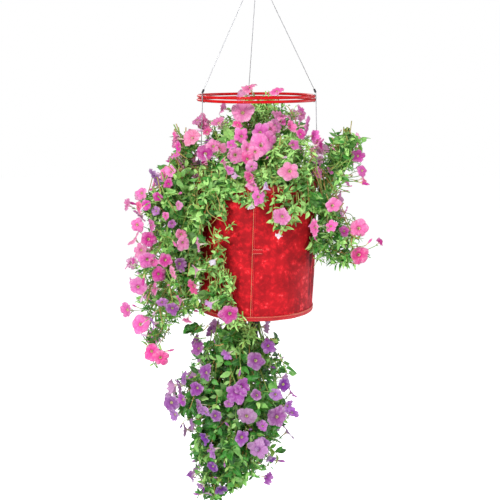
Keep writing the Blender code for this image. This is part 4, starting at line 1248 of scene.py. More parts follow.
def leaves(body, base, direction, normal, length, width, rng, place, tone):
    """Ovate blades, folded along the midrib and curling towards the tip."""
    count = len(base)
    if not count:
        return
    along, shape, change = BLADE.T
    side = np.array((-1.0, -0.5, 0.0, 0.5, 1.0))
    blunt = rng.uniform(0.0, 1.0, (count, 1))
    half = shape * (1 + blunt * change) * width[:, None] / 2
    curl = rng.uniform(-0.25, 1.25, (count, 1))
    curl = np.where(abs(curl) < 0.05, 0.05, curl)
    fold = rng.uniform(0.05, 0.55, (count, 1, 1))
    wave = rng.uniform(0.0, 0.10, (count, 1, 1)) * width[:, None, None]
    phase = rng.uniform(0, TAU, (count, 1, 1))
    x = half[:, :, None] * side
    y = (length[:, None] * np.sin(curl * along) / curl)[:, :, None]
    drop = (length[:, None] * (1 - np.cos(curl * along)) / curl)[:, :, None]
    z = (abs(x) * fold - drop
         + wave * np.sin(along[:, None] * 9 + phase + side * 1.5) * abs(side))
    across = unit(np.cross(direction, normal))
    points = (base[:, None, None] + across[:, None, None] * x[..., None]
              + direction[:, None, None] * y[..., None] + normal[:, None, None] * z[..., None])
    points = off_the_bag(points, place)
    chance = rng.uniform(0, 1, (count, 1, 1))
    values = np.stack(np.broadcast_arrays(side, along[:, None], chance), -1)
    tone = np.broadcast_to(tone[:, None], (count, len(along) * len(side)))
    keep = swings_clear(points, body, petals_too=True)
    if keep.any():
        green[body].skin(points[keep], leaf=values[keep], tone=tone[keep])


def tower(rows, count, rng, inner, arc=(0, TAU)):
    """Points in a stack of ellipses, denser where it is broad, and the way out at each.

    Rows are (height, centre x, half width, centre y, half depth).
    """
    rows = np.asarray(rows, float)
    rows = rows[np.argsort(rows[:, 0])]
    levels = np.linspace(rows[0, 0], rows[-1, 0], 300)
    centre_x, half_x, centre_y, half_y = (np.interp(levels, rows[:, 0], rows[:, i])
                                          for i in (1, 2, 3, 4))
    weight = np.cumsum(half_x + half_y)
    order = np.arange(len(levels))
    pick = np.interp(rng.uniform(0, weight[-1], count), weight, order)
    z, centre_x, half_x, centre_y, half_y = (
        np.interp(pick, order, values)
        for values in (levels, centre_x, half_x, centre_y, half_y))
    turn = rng.uniform(*arc, count)
    share = np.sqrt(rng.uniform(inner ** 2, 1, count))
    points = np.stack([centre_x + share * half_x * np.sin(turn),
                       centre_y - share * half_y * np.cos(turn), z], -1)
    out = unit(np.stack([np.sin(turn) / np.maximum(half_x, 0.01),
                         -np.cos(turn) / np.maximum(half_y, 0.01), 0 * z], -1))
    return points, out


def shoots(body, tips, out, rng, reach, rise, turn_up, blade, slim, number, tone,
           place=None, spread=1.0):
    """Curved shoots that end at tips, each with leaves set round it.

    reach: run back from the tip; rise: how far above its tip a shoot starts; turn_up: how far
    its end turns up; blade: leaf length; slim: leaf width to length; number: leaves a shoot;
    tone: leaf brightness, which is painted light and shade; spread: how far leaves stand out.
    Pairs are ranges.
    """
    place = place or PLACE[body]
    count = len(tips)
    reach = rng.uniform(*reach, count)[:, None]
    rise = rng.uniform(*rise, count)[:, None]
    side = np.cross(out, UP) * rng.uniform(-0.5, 0.5, (count, 1)) * reach
    start = tips - out * reach + UP * rise + side
    bend = tips - out * reach * 0.25 - UP * rng.uniform(*turn_up, count)[:, None]
    path = off_the_bag(bezier(start, bend, tips, np.linspace(0, 1, 9)), place)
    taper = np.linspace(1.25, 0.55, 9)[None] * rng.uniform(0.8, 1.2, (count, 1)) * 0.0011
    chance = rng.uniform(0, 1, count)
    at = np.linspace(0.18, 1.0, number)
    share = at[None, :, None]
    where = bezier(start, bend, tips, at)
    heading = unit(2 * (1 - share) * (bend - start)[:, None] + 2 * share * (tips - bend)[:, None])
    turn = 2.4 * np.arange(number)[None] + rng.uniform(0, TAU, (count, 1))
    level = unit(np.cross(heading, UP + 0.01))
    other = np.cross(heading, level)
    radial = level * np.cos(turn)[..., None] + other * np.sin(turn)[..., None]
    away = np.repeat(out[:, None], number, 1)
    stray = rng.normal(size=(count, number, 3)) * 0.22
    direction = unit(radial * spread + heading * (0.25 + 0.5 * share ** 3) + away * 0.30
                     + stray - UP * 0.10)
    face = (heading * 0.35 + away * 0.55 + UP * 0.60
            + rng.normal(size=(count, number, 3)) * 0.25)
    face = unit(face - (face * direction).sum(-1, keepdims=True) * direction)
    size = (rng.uniform(*blade, (count, 1)) * rng.uniform(0.72, 1.15, (count, number))
            * (1 - 0.42 * at[None] ** 2.5))
    width = size * rng.uniform(*slim, (count, 1)) * rng.uniform(0.9, 1.1, (count, number))
    # each leaf's tone: the shoot's painted light and shade, a random spread, and painted light
    # growing towards the tip
    shade = (tone + rng.normal(size=(count, number)) * 0.27 + rng.normal(size=(count, 1)) * 0.19
             + 0.18 * at[None])

    def flat(values):
        return values.reshape((-1,) + values.shape[2:])

    # a shoot that would stand in front of a bloom is not grown at all
    free = open_to_blooms(flat(where + direction * size[..., None] * 0.55), flat(size))
    free = free.reshape(count, number)
    alive = (free.mean(1) > 0.45) & swings_clear(path, body)
    tube(wood[body], path[alive], taper[alive], sides=5, stem=chance[alive])
    kept = (free & alive[:, None]).reshape(-1)
    base, direction, face, size, width, shade = (
        flat(values)[kept] for values in (where, direction, face, size, width, shade))
    leaves(body, base, direction, face, size, width, rng, place, shade)


# ------------------------------------------------------------------ blooms and buds
TINTS = {"P": (0.860, 0.195, 0.500), "D": (0.860, 0.095, 0.350), "M": (0.680, 0.040, 0.360),
         "U": (0.370, 0.085, 0.390), "V": (0.500, 0.175, 0.520), "B": (0.210, 0.035, 0.300),
         "L": (0.860, 0.700, 0.840)}
# a bloom from tube to margin: (radius, height, out value for its colour), in shares of its radius
TRUMPET = np.array((
    (0.045, -1.25, -0.1), (0.055, -0.98, -0.05), (0.085, -0.62, 0.0), (0.14, -0.30, 0.06),
    (0.28, -0.10, 0.20), (0.48, -0.03, 0.42), (0.68, 0.0, 0.62), (0.85, -0.005, 0.82),
    (0.96, -0.03, 0.95), (1.0, -0.055, 1.0)))


def blooms(body, rng):
    """Trumpets: tube, funnel, ruffled five-lobed limb, calyx and a stalk bending back in."""
    centre, facing, radius, tint, opening = GROWN[body]
    _, place, axis = PLANTS[body]
    facing = unit(facing)
    count = len(centre)
    size = radius[:, None, None]
    turn = circle(40)
    share, depth, out = TRUMPET.T
    lobe = abs(2 * ((5 * turn / TAU) % 1) - 1)
    phase = rng.uniform(0, TAU, (4, count, 1))
    wild = (1 + 0.05 * np.cos(turn + phase[0]) + 0.05 * np.cos(2 * turn + phase[1])
            + 0.03 * np.cos(3 * turn + phase[2]))
    # no two lobes are alike: each has its own length, cut and lean, smoothed across the seams
    off = (turn - TAU * (np.arange(5)[:, None] + 0.5) / 5 + math.pi) % TAU - math.pi
    smooth = np.maximum(np.cos(off * 1.25), 0)
    smooth = smooth / np.maximum(smooth.sum(0, keepdims=True), 1e-6)

    def own(spread):
        return np.einsum("nk,kc->nc", rng.normal(size=(count, 5)) * spread, smooth)[:, None]

    notch = np.clip(rng.uniform(0.08, 0.24, (count, 1, 1)) + own(0.07), 0.03, 0.36)
    point = rng.uniform(0.0, 0.05, (count, 1, 1)) * (1 - lobe) ** 4
    limb = np.clip((share - 0.14) / 0.86, 0, 1)[None, :, None]
    reach = size * share[:, None]
    reach = reach * (1 - notch * lobe ** 1.8 * np.clip(share, 0, 1)[:, None] ** 2.2)
    reach = reach * (1 + (wild[:, None] - 1 + own(0.10) + point) * limb)
    # a bloom that is not fully open keeps its lobes forward; one past it rolls them back
    cup = (1 - opening)[:, None, None]
    reach = reach * (1 - 0.42 * np.clip(cup, 0, 1) * limb ** 1.2)
    lift = size * (depth[:, None] + cup * 0.62 * limb ** 1.4)
    roll = rng.uniform(0.0, 0.16, (count, 1, 1))
    lift = lift - size * roll * limb ** 3 * (1 - lobe * 0.6)
    ruffle = rng.uniform(0.05, 0.13, (count, 1, 1))
    lift = lift + (size * ruffle * limb ** 2
                   * np.sin(10 * turn + phase[3][:, None] + 1.5 * np.sin(turn)))
    lift = lift + size * ruffle * 0.5 * limb ** 5 * np.sin(17 * turn - phase[2][:, None])
    lift = lift - size * 0.14 * limb ** 1.2 * lobe ** 4
    lift = lift + size * limb ** 1.6 * own(0.16)
    # the whole limb folds a little along one line
    lift = lift + (size * rng.normal(size=(count, 1, 1)) * 0.20 * limb ** 1.5
                   * np.cos(turn - phase[1][:, None]) ** 2)
    spin = rng.uniform(0, TAU, count)
    reference = np.where(abs(facing[:, 2:3]) < 0.9, UP, np.array((1.0, 0, 0)))
    level = unit(np.cross(facing, reference))
    other = np.cross(level, facing)
    sine, cosine = np.sin(spin)[:, None], np.cos(spin)[:, None]
    level, other = level * cosine + other * sine, other * cosine - level * sine
    # the tube sags a little under the limb
    sag = (np.clip(-depth - 0.1, 0, 2)[None, :, None] ** 2 * size
           * rng.uniform(0.05, 0.22, (count, 1, 1)))
    points = (centre[:, None, None] + (reach * np.cos(turn))[..., None] * level[:, None, None]
              + (reach * np.sin(turn))[..., None] * other[:, None, None]
              + lift[..., None] * facing[:, None, None] - sag[..., None] * UP)
    points = off_the_bag(points, place)
    chance = rng.uniform(0, 1, (count, 1, 1))
    values = np.stack(np.broadcast_arrays(out[:, None], lobe, chance), -1)
    tints = (tint[:, None, None] * rng.uniform(0.80, 1.12, (count, 1, 1, 1))
             * rng.uniform((0.94, 0.65, 0.88), (1.06, 1.45, 1.22), (count, 1, 1, 3)))
    petals[body].skin(points, around=True, petal=values,
                      tint=np.broadcast_to(np.clip(tints, 0, 0.95), values.shape))
    # stamens in the throat
    heart = (centre - facing * (radius * 0.16)[:, None])[:, None]
    tip = (centre + facing * (radius * 0.015)[:, None])[:, None]
    along = np.linspace(0, 1, 4)[None, :, None]
    tube(wood[body], heart * (1 - along) + tip * along,
         (radius * 0.055)[:, None] * np.array((0.6, 0.8, 1.0, 0.5)), stem=0.05)
    # calyx
    foot = centre - facing * (radius * 1.22)[:, None] - UP * (radius * 0.17)[:, None]
    for i in range(5):
        angle = (TAU * i / 5 + spin)[:, None]
        radial = level * np.cos(angle) + other * np.sin(angle)
        direction = unit(facing + radial * 0.42)
        normal = unit(np.cross(np.cross(direction, radial), direction)) * -1
        length = radius * rng.uniform(0.42, 0.60, count)
        leaves(body, foot + radial * (radius * 0.05)[:, None], direction, normal, length,
               length * 0.26, rng, place, tone=np.full(count, 0.75))
    # stalk
    inner = np.stack([np.full(count, axis[0]), np.full(count, axis[1]), centre[:, 2]], -1)
    inward = unit(inner - centre)
    bend = foot - facing * 0.010
    end = (bend + inward * rng.uniform(0.012, 0.028, (count, 1))
           - UP * rng.uniform(-0.004, 0.016, (count, 1)))
    stalk = off_the_bag(bezier(foot, bend, end, np.linspace(0, 1, 6)), place)
    tube(wood[body], stalk, 0.0008, sides=5, stem=rng.uniform(0, 0.5, count))


def buds(body, tips, out, rng, tints):
    """Furled buds and spent trumpets on short stalks."""
    count = len(tips)
    place = PLACE[body]
    direction = unit(out + UP * rng.uniform(-0.9, 0.9, (count, 1))
                     + rng.normal(size=(count, 3)) * 0.4)
    length = rng.uniform(0.012, 0.027, count)
    along = np.linspace(0, 1, 8)
    spin = rng.uniform(-0.3, 0.3, (count, 1, 1))
    step, size = along[None, :, None], length[:, None, None]
    path = (tips[:, None] + direction[:, None] * (step * size)
            + np.cross(direction, UP)[:, None] * spin * (step ** 2) * size)
    shape = np.array((0.35, 0.55, 0.62, 0.72, 1.0, 0.98, 0.62, 0.08))
    radii = length[:, None] * 0.115 * shape
    points = rings_along(off_the_bag(path, place), radii, 10, lobes=5, lobe=0.12)
    values = np.stack(np.broadcast_arrays((along * 1.1 - 0.25)[:, None], np.linspace(0, 1, 10),
                                          rng.uniform(0, 1, (count, 1, 1))), -1)
    pick = np.array([TINTS[key] for key in tints])[rng.integers(0, len(tints), count)]
    petals[body].skin(points, around=True, petal=values,
                      tint=np.broadcast_to(pick[:, None, None], values.shape))
    back = bezier(tips, tips - direction * 0.009, tips - direction * 0.010 - out * 0.034,
                  np.linspace(0, 1, 6))
    tube(wood[body], off_the_bag(back, place), 0.0009, sides=5, stem=rng.uniform(0, 0.6, count))


# ------------------------------------------------------------------ where the blooms stand
# The showy blooms, in their plant's box: thousandths across, hundredths from its front,
# thousandths up; then radius in mm, the way they face in degrees (azimuth, elevation), a tint.
ARRANGED = {
    "planter": (
        (433, 52, 951, 21, -60, 50, "P"), (683, 55, 922, 18, -25, 62, "P"),
        (371, 32, 747, 24, -15, 18, "P"), (192, 42, 771, 18, -78, 8, "P"),
        (158, 29, 661, 17, -40, 40, "P"), (-38, 45, 673, 17, -50, 52, "P"),
        (-88, 35, 527, 20, -22, 25, "P"), (-242, 48, 498, 23, -78, 0, "D"),
        (-204, 39, 437, 13, -50, 10, "M"), (-217, 42, 363, 15, -60, 48, "P"),
        (46, 26, 400, 20, 0, 30, "M"), (117, 29, 457, 17, 15, 20, "P"),
        (179, 23, 445, 15, 35, 30, "P"), (371, 23, 547, 18, 18, 12, "P"),
        (308, 16, 392, 20, -8, 5, "P"), (275, 19, 482, 14, -5, 60, "P"),
        (217, 13, 331, 13, -70, -10, "P"), (425, 16, 445, 16, 30, 20, "P"),
        (888, 42, 755, 18, 58, 38, "P"), (725, 39, 714, 22, 0, 72, "P"),
        (529, 23, 584, 20, 10, 25, "P"), (617, 26, 596, 20, 20, 10, "P"),
        (671, 32, 633, 17, 35, 35, "P"), (717, 39, 661, 16, 40, 30, "P"),
        (538, 16, 478, 22, 0, 10, "P"), (596, 19, 518, 19, 25, 5, "P"),
        (483, 13, 420, 17, -10, -5, "P"), (412, 11, 363, 16, -25, -10, "D"),
        (458, 10, 298, 14, 10, -10, "P"), (958, 39, 620, 23, 72, 0, "P"),
        (1000, 35, 535, 17, 45, 10, "P"), (892, 29, 559, 11, 30, 20, "M"),
        (796, 32, 624, 16, 40, 20, "P"), (1054, 32, 461, 16, 75, 0, "M"),
        (783, 8, 265, 22, 0, 8, "P"), (437, 8, 208, 18, -55, 0, "D"),
        (467, 8, 139, 15, -30, -20, "P"), (517, 6, 49, 17, 20, -5, "P"),
        (321, 10, 224, 12, -70, 5, "L"), (571, 5, 127, 14, 65, 30, "L"),
        (458, 6, -29, 12, -10, -50, "L"), (713, 8, -127, 20, -20, -8, "P"),
        (258, 11, 269, 12, -40, -20, "P"), (58, 32, 580, 12, -10, 40, "D"),
        (333, 26, 649, 12, 30, 50, "D"), (825, 23, 478, 13, 20, 30, "P"),
        (690, 9, -285, 12, -25, -60, "L"),
    ),
    "right_trail": (
        (579, 45, 695, 15, 20, 10, "M"), (634, 34, 611, 15, 30, 0, "P"),
        (152, -3, 430, 19, 15, -5, "P"), (-131, -18, 314, 21, -58, -5, "P"),
        (124, -3, 314, 14, -20, 20, "P"), (359, 18, 265, 14, 30, 10, "M"),
        (579, 24, 278, 22, 5, 10, "P"), (572, 13, 127, 21, -5, 5, "D"),
        (903, 29, 189, 11, 50, 35, "M"), (138, 34, 611, 12, 60, 30, "P"),
    ),
    "left_trail": (
        (363, 51, 769, 18, -55, 10, "P"), (413, 44, 782, 14, -35, 20, "P"),
        (400, 40, 736, 12, -20, 0, "M"), (195, 47, 695, 17, -25, 10, "P"),
        (84, 54, 642, 16, -68, 22, "P"), (178, 40, 644, 16, -65, -5, "D"),
        (242, 37, 655, 12, -10, 0, "M"), (329, 37, 686, 12, 0, -10, "M"),
        (161, 44, 569, 18, -10, 8, "P"), (265, 40, 571, 16, -50, -5, "P"),
        (262, 33, 521, 18, 10, 10, "M"), (507, 19, 554, 15, 25, 10, "P"),
        (517, 18, 519, 15, 10, -15, "P"), (188, 40, 470, 19, -25, 5, "P"),
        (245, 33, 437, 20, 0, -5, "P"), (289, 33, 429, 14, 35, 0, "P"),
        (386, 26, 444, 16, 20, 5, "M"), (487, 33, 420, 18, 30, -10, "U"),
        (141, 40, 426, 11, -60, 0, "M"), (326, 30, 383, 18, -5, 10, "M"),
        (165, 40, 319, 20, -5, 8, "P"), (302, 33, 319, 18, -58, -5, "P"),
        (433, 23, 396, 15, -62, -22, "P"), (625, 14, 516, 17, -78, -5, "P"),
        (608, 14, 417, 17, -72, -10, "P"), (584, 16, 347, 20, -50, -8, "D"),
        (739, 12, 455, 12, -60, -35, "L"), (349, 33, 261, 15, 10, -20, "V"),
        (423, 30, 240, 17, -10, -20, "U"), (487, 23, 283, 16, -65, -15, "P"),
        (537, 23, 206, 15, -35, -45, "P"), (71, 47, 215, 19, -38, 5, "P"),
        (175, 44, 156, 22, 0, 8, "P"), (272, 40, 169, 16, -68, -10, "V"),
        (709, 12, 284, 17, -65, -20, "L"), (846, 14, 239, 22, -8, -8, "M"),
        (245, 47, 40, 21, -25, 5, "D"), (322, 44, 15, 20, 15, -5, "D"),
        (430, 33, 582, 10, 0, 0, "V"), (312, 37, 631, 11, -20, 10, "V"),
        (383, 33, 613, 10, -30, -10, "P"), (473, 33, 657, 11, -40, 10, "P"),
    ),
    "lower_plant": (
        (270, 35, 943, 20, -52, 5, "U"), (512, 13, 948, 17, -52, -25, "V"),
        (835, 26, 973, 18, 25, 5, "U"), (733, 9, 918, 21, 5, 18, "U"),
        (337, 13, 838, 20, -48, 0, "U"), (165, 30, 778, 16, -55, 10, "U"),
        (267, 13, 750, 19, -28, 0, "U"), (53, 30, 630, 21, -25, 5, "U"),
        (81, 30, 560, 17, -40, -10, "V"), (151, 22, 665, 17, -45, 0, "U"),
        (277, 13, 653, 18, -60, 0, "U"), (337, 9, 615, 17, -45, -20, "V"),
        (421, 4, 610, 15, 30, 30, "U"), (225, 26, 508, 18, -62, -12, "V"),
        (579, 0, 748, 24, -15, 5, "U"), (625, 1, 780, 21, 20, 10, "U"),
        (740, 4, 728, 14, 10, 20, "U"), (954, 26, 745, 18, 15, 5, "B"),
        (888, 17, 703, 17, 5, 0, "V"), (993, 30, 613, 19, 50, 0, "V"),
        (905, 17, 573, 24, 15, 5, "U"), (782, 9, 535, 14, -20, -5, "V"),
        (656, 0, 610, 22, -20, 0, "V"), (625, 0, 490, 19, 0, 10, "U"),
        (751, 9, 395, 25, -5, -5, "V"), (782, 11, 423, 20, 20, 10, "U"),
        (846, 22, 320, 18, 40, -50, "B"), (330, 17, 453, 17, -40, -10, "B"),
        (393, 13, 390, 21, -68, -8, "V"), (386, 22, 265, 14, -20, -10, "B"),
        (821, 30, 183, 19, 60, -10, "U"), (207, 35, 173, 17, -62, -15, "U"),
        (288, 30, 135, 12, -30, -30, "V"), (453, 30, 115, 17, 25, -30, "B"),
        (347, 30, 80, 10, -30, -60, "U"), (523, 4, 675, 11, 0, 0, "V"),
    ),
}


def heights_from(level, rows):
    return [(level + height, *rest) for height, *rest in rows]


# The shape each plant's shoots end in; their leaves stand a little outside it:
# height from the rim (or from the base), centre x, half width, centre y, half depth.
ROWS = {
    "planter": heights_from(RIM_TOP, (
        (.185, .010, .022, .000, .020), (.160, .006, .060, .000, .050),
        (.130, .008, .096, -.005, .090), (.100, -.004, .130, -.012, .125),
        (.060, -.012, .142, -.015, .140), (.020, -.012, .146, -.015, .145),
        (-.006, .000, .146, -.010, .145))),
    "left_trail": heights_from(RIM_TOP, (
        (.088, -.148, .014, .000, .045), (.066, -.154, .018, .000, .070),
        (.042, -.156, .018, .000, .085), (.020, -.162, .022, -.005, .100),
        (-.005, -.182, .038, -.010, .110), (-.040, -.200, .050, -.015, .115),
        (-.090, -.202, .056, -.020, .115), (-.140, -.205, .060, -.030, .110),
        (-.200, -.206, .062, -.030, .110), (-.240, -.202, .062, -.030, .105),
        (-.290, -.203, .064, -.030, .090), (-.314, -.212, .040, -.030, .060),
        (-.360, -.226, .022, -.030, .034), (-.400, -.232, .014, -.030, .024),
        (-.418, -.232, .010, -.030, .016))),
    "right_trail": heights_from(RIM_TOP, (
        (.112, .152, .006, -.020, .010), (.100, .176, .022, -.015, .022),
        (.086, .204, .038, -.010, .038), (.060, .186, .040, -.010, .070),
        (.020, .183, .040, -.020, .085), (-.008, .180, .038, -.025, .085),
        (-.034, .153, .018, -.030, .075), (-.076, .158, .022, -.045, .062),
        (-.100, .180, .046, -.055, .055), (-.132, .188, .056, -.060, .050),
        (-.166, .194, .050, -.055, .042), (-.190, .204, .026, -.050, .030))),
    "back_trail": heights_from(RIM_TOP, (
        (.095, .010, .060, .155, .020), (.060, .015, .110, .168, .038),
        (.000, .012, .130, .178, .052), (-.080, -.005, .115, .184, .055),
        (-.160, -.030, .090, .190, .050), (-.240, -.040, .070, .194, .045),
        (-.310, -.045, .030, .196, .028))),
    "lower_plant": heights_from(BASE_Z, (
        (-.050, -.034, .040, -.002, .040), (-.078, -.048, .078, -.002, .075),
        (-.115, -.052, .090, -.002, .098), (-.145, -.042, .108, -.002, .110),
        (-.185, -.052, .122, -.002, .114), (-.225, -.058, .138, -.002, .116),
        (-.265, -.054, .128, -.002, .110), (-.300, -.049, .114, -.004, .104),
        (-.345, -.050, .104, -.006, .094), (-.385, -.056, .090, -.008, .078),
        (-.415, -.070, .078, -.008, .060), (-.452, -.106, .024, -.010, .024))),
}
CROWN, LEFT, RIGHT, BACK, LOWER_ROWS = ROWS.values()
# a seeded scatter for the sides and the back: number, azimuths, tints to draw from
SCATTER = {"planter": (34, (1.2, 5.2), "PPPPDM"), "left_trail": (26, (2.2, 5.0), "PPPDMU"),
           "right_trail": (10, (1.2, 3.9), "PPPDM"), "back_trail": (40, (1.3, 5.0), "PPPDMU"),
           "lower_plant": (34, (1.25, 5.1), "UUUVVB")}
# gaps in the leaves that the cloth shows through: azimuth, drop below the rim, radius
CLOTH_GAPS = ((0.12, 0.012, 0.007), (0.27, 0.012, 0.007), (0.69, 0.024, 0.009),
              (1.22, 0.014, 0.012), (-0.12, 0.010, 0.009), (-0.33, 0.052, 0.014),
              (-0.62, 0.290, 0.011), (-0.80, 0.288, 0.013), (-0.82, 0.105, 0.011),
              (-0.92, 0.150, 0.010), (-0.86, 0.205, 0.011))


def compass(azimuth, elevation):
    azimuth, elevation = np.radians(azimuth), np.radians(elevation)
    return np.stack([np.sin(azimuth) * np.cos(elevation), -np.cos(azimuth) * np.cos(elevation),
                     np.sin(elevation)], -1)


def place_blooms(body, rng):
    """Centre, facing, radius, tint and opening of each bloom: the arranged, then the scatter."""
    listed = ARRANGED.get(body, ())
    low, high = corners(PLANTS[body][0])
    table = np.array([row[:6] for row in listed], float).reshape(-1, 6)
    letters = [row[6] for row in listed]
    kept = low + (high - low) * table[:, :3] / np.array((1000.0, 100.0, 1000.0))
    facing = unit(compass(table[:, 4], table[:, 5]) + rng.normal(size=(len(table), 3)) * 0.07)
    radius = table[:, 3] / 1000
    tint = np.array([TINTS[letter] for letter in letters]).reshape(-1, 3)
    opening = np.where(abs(table[:, 4]) < 35, rng.uniform(0.85, 1.05, len(table)),
                       rng.uniform(0.45, 0.95, len(table)))
    opening = np.where([letter == "L" for letter in letters], 0.25, opening)
    wanted, arc, palette = SCATTER[body]
    ways = np.zeros((0, 3))
    for point, way in zip(*tower(ROWS[body], wanted * 12, rng, 0.90, arc)):
        apart = len(kept) == 0 or np.linalg.norm(kept - point, axis=1).min() > 0.026
        if len(ways) < wanted and apart:
            kept, ways = np.vstack([kept, point + way * 0.018]), np.vstack([ways, way])
    count = len(ways)
    scattered = unit(ways + rng.normal(size=(count, 3)) * 0.38
                     + UP * rng.uniform(-0.15, 0.5, (count, 1)))
    facing = np.vstack([facing, scattered])
    radius = np.concatenate([radius, rng.uniform(0.015, 0.022, count)])
    choices = np.array([TINTS[letter] for letter in palette])
    tint = np.vstack([tint, choices[rng.integers(0, len(palette), count)]])
    opening = np.concatenate([opening, rng.uniform(0.55, 1.05, count)])
    return kept, facing, radius, tint, opening


# the blooms are placed before the leaves, which grow round them
rng = np.random.default_rng(202)
GROWN = {body: place_blooms(body, rng) for body in PLANTS}
# what leaves grow round: centre, facing, radius
SHOWN = np.vstack(
    [np.column_stack(grown[:3]) for grown in GROWN.values()]
    + [np.concatenate([polar(azimuth, 0.141, RIM_TOP - drop), (0.0, -1.0, 0.0), (size,)])[None]
       for azimuth, drop, size in CLOTH_GAPS])
for body in PLANTS:
    blooms(body, rng)

# ------------------------------------------------------------------ planting
SMALL, BROAD = (0.017, 0.029), (0.028, 0.044)        # leaf lengths
NARROW, OVATE = (0.26, 0.42), (0.44, 0.62)           # leaf widths to lengths
rng = np.random.default_rng(101)


def fill(body, *plantings):
    """Shoots through towers: rows, count, inner share, then reach to tone as in shoots."""
    for rows, count, inner, *habit in plantings:
        tips, out = tower(rows, count, rng, inner)
        shoots(body, tips, out, rng, *habit)


def fringe(count, azimuth, radius, drop, level=RIM_TOP, share=lambda azimuth: 1.0):
    """Tips round the bag in ranges of azimuth, radius and drop below level. share scales drop."""
    azimuth = rng.uniform(*azimuth, count)
    radius = rng.uniform(*radius, count)
    return polar(azimuth, radius, level - rng.uniform(*drop, count) * share(azimuth)), azimuth


def askew(azimuth):
    """Ways out from the bag that stray to either side."""
    sideways = rng.uniform(-1.2, 1.2, len(azimuth))[:, None]
    return unit(outward(azimuth) + tangent(azimuth) * sideways)


# the tone each planting is given is painted light and shade: high on the lit crown and front,
# lower on the sides, lowest inside and under the plants
# crown: shoots rise out of the pot and lean over its rim
fill("planter",
     (CROWN, 270, 0.35, (0.020, 0.055), (-0.060, -0.025), (-0.01, 0.012), SMALL, NARROW, 8, 1.00),
     (CROWN[3:], 66, 0.55, (0.020, 0.050), (-0.050, 0.0), (-0.004, 0.014), BROAD, OVATE, 6, 0.72))
# thin-leaved shoots at its front right
count = 54
tips = np.stack([rng.uniform(0.020, 0.125, count), rng.uniform(-0.150, -0.080, count),
                 RIM_TOP + rng.uniform(0.022, 0.105, count)], -1)
away = np.stack([tips[:, 0] - 0.02, tips[:, 1], 0 * tips[:, 0]], -1)
away = unit(away + rng.normal(size=(count, 3)) * 0.2)
shoots("planter", tips, away, rng, reach=(0.020, 0.045), rise=(-0.050, 0.0),
       turn_up=(-0.006, 0.014), blade=(0.015, 0.027), slim=(0.17, 0.27), number=10, tone=1.16,
       spread=1.1)
# small leaves at its top
count = 16
tips = np.stack([rng.uniform(-0.040, 0.070, count), rng.uniform(-0.060, -0.010, count),
                 RIM_TOP + rng.uniform(0.138, 0.176, count)], -1)
away = unit(rng.normal(size=(count, 3)) * (1, 1, 0) + 1e-6)
shoots("planter", tips, away, rng, reach=(0.010, 0.025), rise=(-0.060, -0.030),
       turn_up=(-0.004, 0.006), blade=(0.012, 0.021), slim=(0.30, 0.48), number=7, tone=0.95)
# a skirt that hangs just over the front rim
azimuth = rng.uniform(-0.75, 1.05, 78)
radius = rng.uniform(0.141, 0.160, 78)
drop = rng.uniform(-0.026, 0.052, 78) * np.where(azimuth < 0.2, 0.75, 1.0)
shoots("planter", polar(azimuth, radius, RIM_TOP - drop), outward(azimuth), rng,
       reach=(0.006, 0.018), rise=(0.004, 0.036), turn_up=(-0.004, 0.012), blade=SMALL,
       slim=NARROW, number=7, tone=0.80, place=OUTSIDE, spread=1.15)
# large drooping leaves at its right
tips, azimuth = fringe(8, (0.72, 1.15), (0.146, 0.158), (0.015, 0.062))
shoots("planter", tips, outward(azimuth), rng, reach=(0.004, 0.012), rise=(0.010, 0.035),
       turn_up=(-0.004, 0.006), blade=(0.034, 0.047), slim=(0.40, 0.52), number=3, tone=0.62,
       place=OUTSIDE)
# a sprig that hangs in front of the cloth
tips, azimuth = fringe(13, (0.14, 0.60), (0.144, 0.158), (0.045, 0.098))
shoots("planter", tips, outward(azimuth), rng, reach=(0.004, 0.014), rise=(0.004, 0.030),
       turn_up=(-0.004, 0.012), blade=(0.016, 0.026), slim=NARROW, number=6, tone=0.90,
       place=OUTSIDE, spread=1.15)

# left trail: the long fall down the side
fill("left_trail",
     (LEFT, 330, 0.40, (0.015, 0.045), (0.005, 0.060), (-0.004, 0.022), SMALL, NARROW, 7, 0.68),
     (LEFT[:7], 120, 0.55, (0.015, 0.040), (0.000, 0.050), (-0.004, 0.020), BROAD, OVATE, 6, 0.68))
# the curtain across the front of the bag
count = 205
azimuth = rng.uniform(-1.75, -0.36, count)
drop = rng.uniform(0.010, 0.285, count)
back_off = rng.uniform(0.0, 0.16, count) * (drop > 0.09)
azimuth = azimuth - np.where(azimuth > -0.62, back_off, 0.0)
tips = polar(azimuth, rng.uniform(0.144, 0.180, count), RIM_TOP - drop)
shoots("left_trail", tips, askew(azimuth), rng, reach=(0.004, 0.026), rise=(-0.008, 0.034),
       turn_up=(-0.004, 0.020), blade=SMALL, slim=NARROW, number=6, tone=0.80, spread=1.25)
tips, azimuth = fringe(60, (-1.60, -0.62), (0.148, 0.182), (0.000, 0.250))
shoots("left_trail", tips, askew(azimuth), rng, reach=(0.006, 0.026), rise=(-0.004, 0.030),
       turn_up=(-0.004, 0.020), blade=(0.022, 0.036), slim=OVATE, number=5, tone=0.62, spread=1.2)
tips, azimuth = fringe(26, (-0.66, -0.33), (0.143, 0.158), (0.185, 0.272))
shoots("left_trail", tips, askew(azimuth), rng, reach=(0.004, 0.018), rise=(0.004, 0.040),
       turn_up=(-0.004, 0.016), blade=(0.013, 0.023), slim=NARROW, number=6, tone=0.78, spread=1.2)
# long bare runners that show through
count = 13
top, azimuth = fringe(count, (-1.45, -0.55), (0.146, 0.168), (-0.005, 0.05))
bottom = polar(azimuth + rng.uniform(-0.35, 0.35, count), rng.uniform(0.146, 0.164, count),
               RIM_TOP - rng.uniform(0.06, 0.15, count))
swing = ((top + bottom) / 2 + polar(azimuth, 0.016, 0.0)
         + tangent(azimuth) * rng.uniform(-0.06, 0.06, count)[:, None])
tube(wood["left_trail"], off_the_bag(bezier(top, swing, bottom, np.linspace(0, 1, 16))),
     rng.uniform(0.0008, 0.0013, count)[:, None] * np.linspace(1.2, 0.7, 16)[None],
     stem=rng.uniform(0.35, 1.0, count))
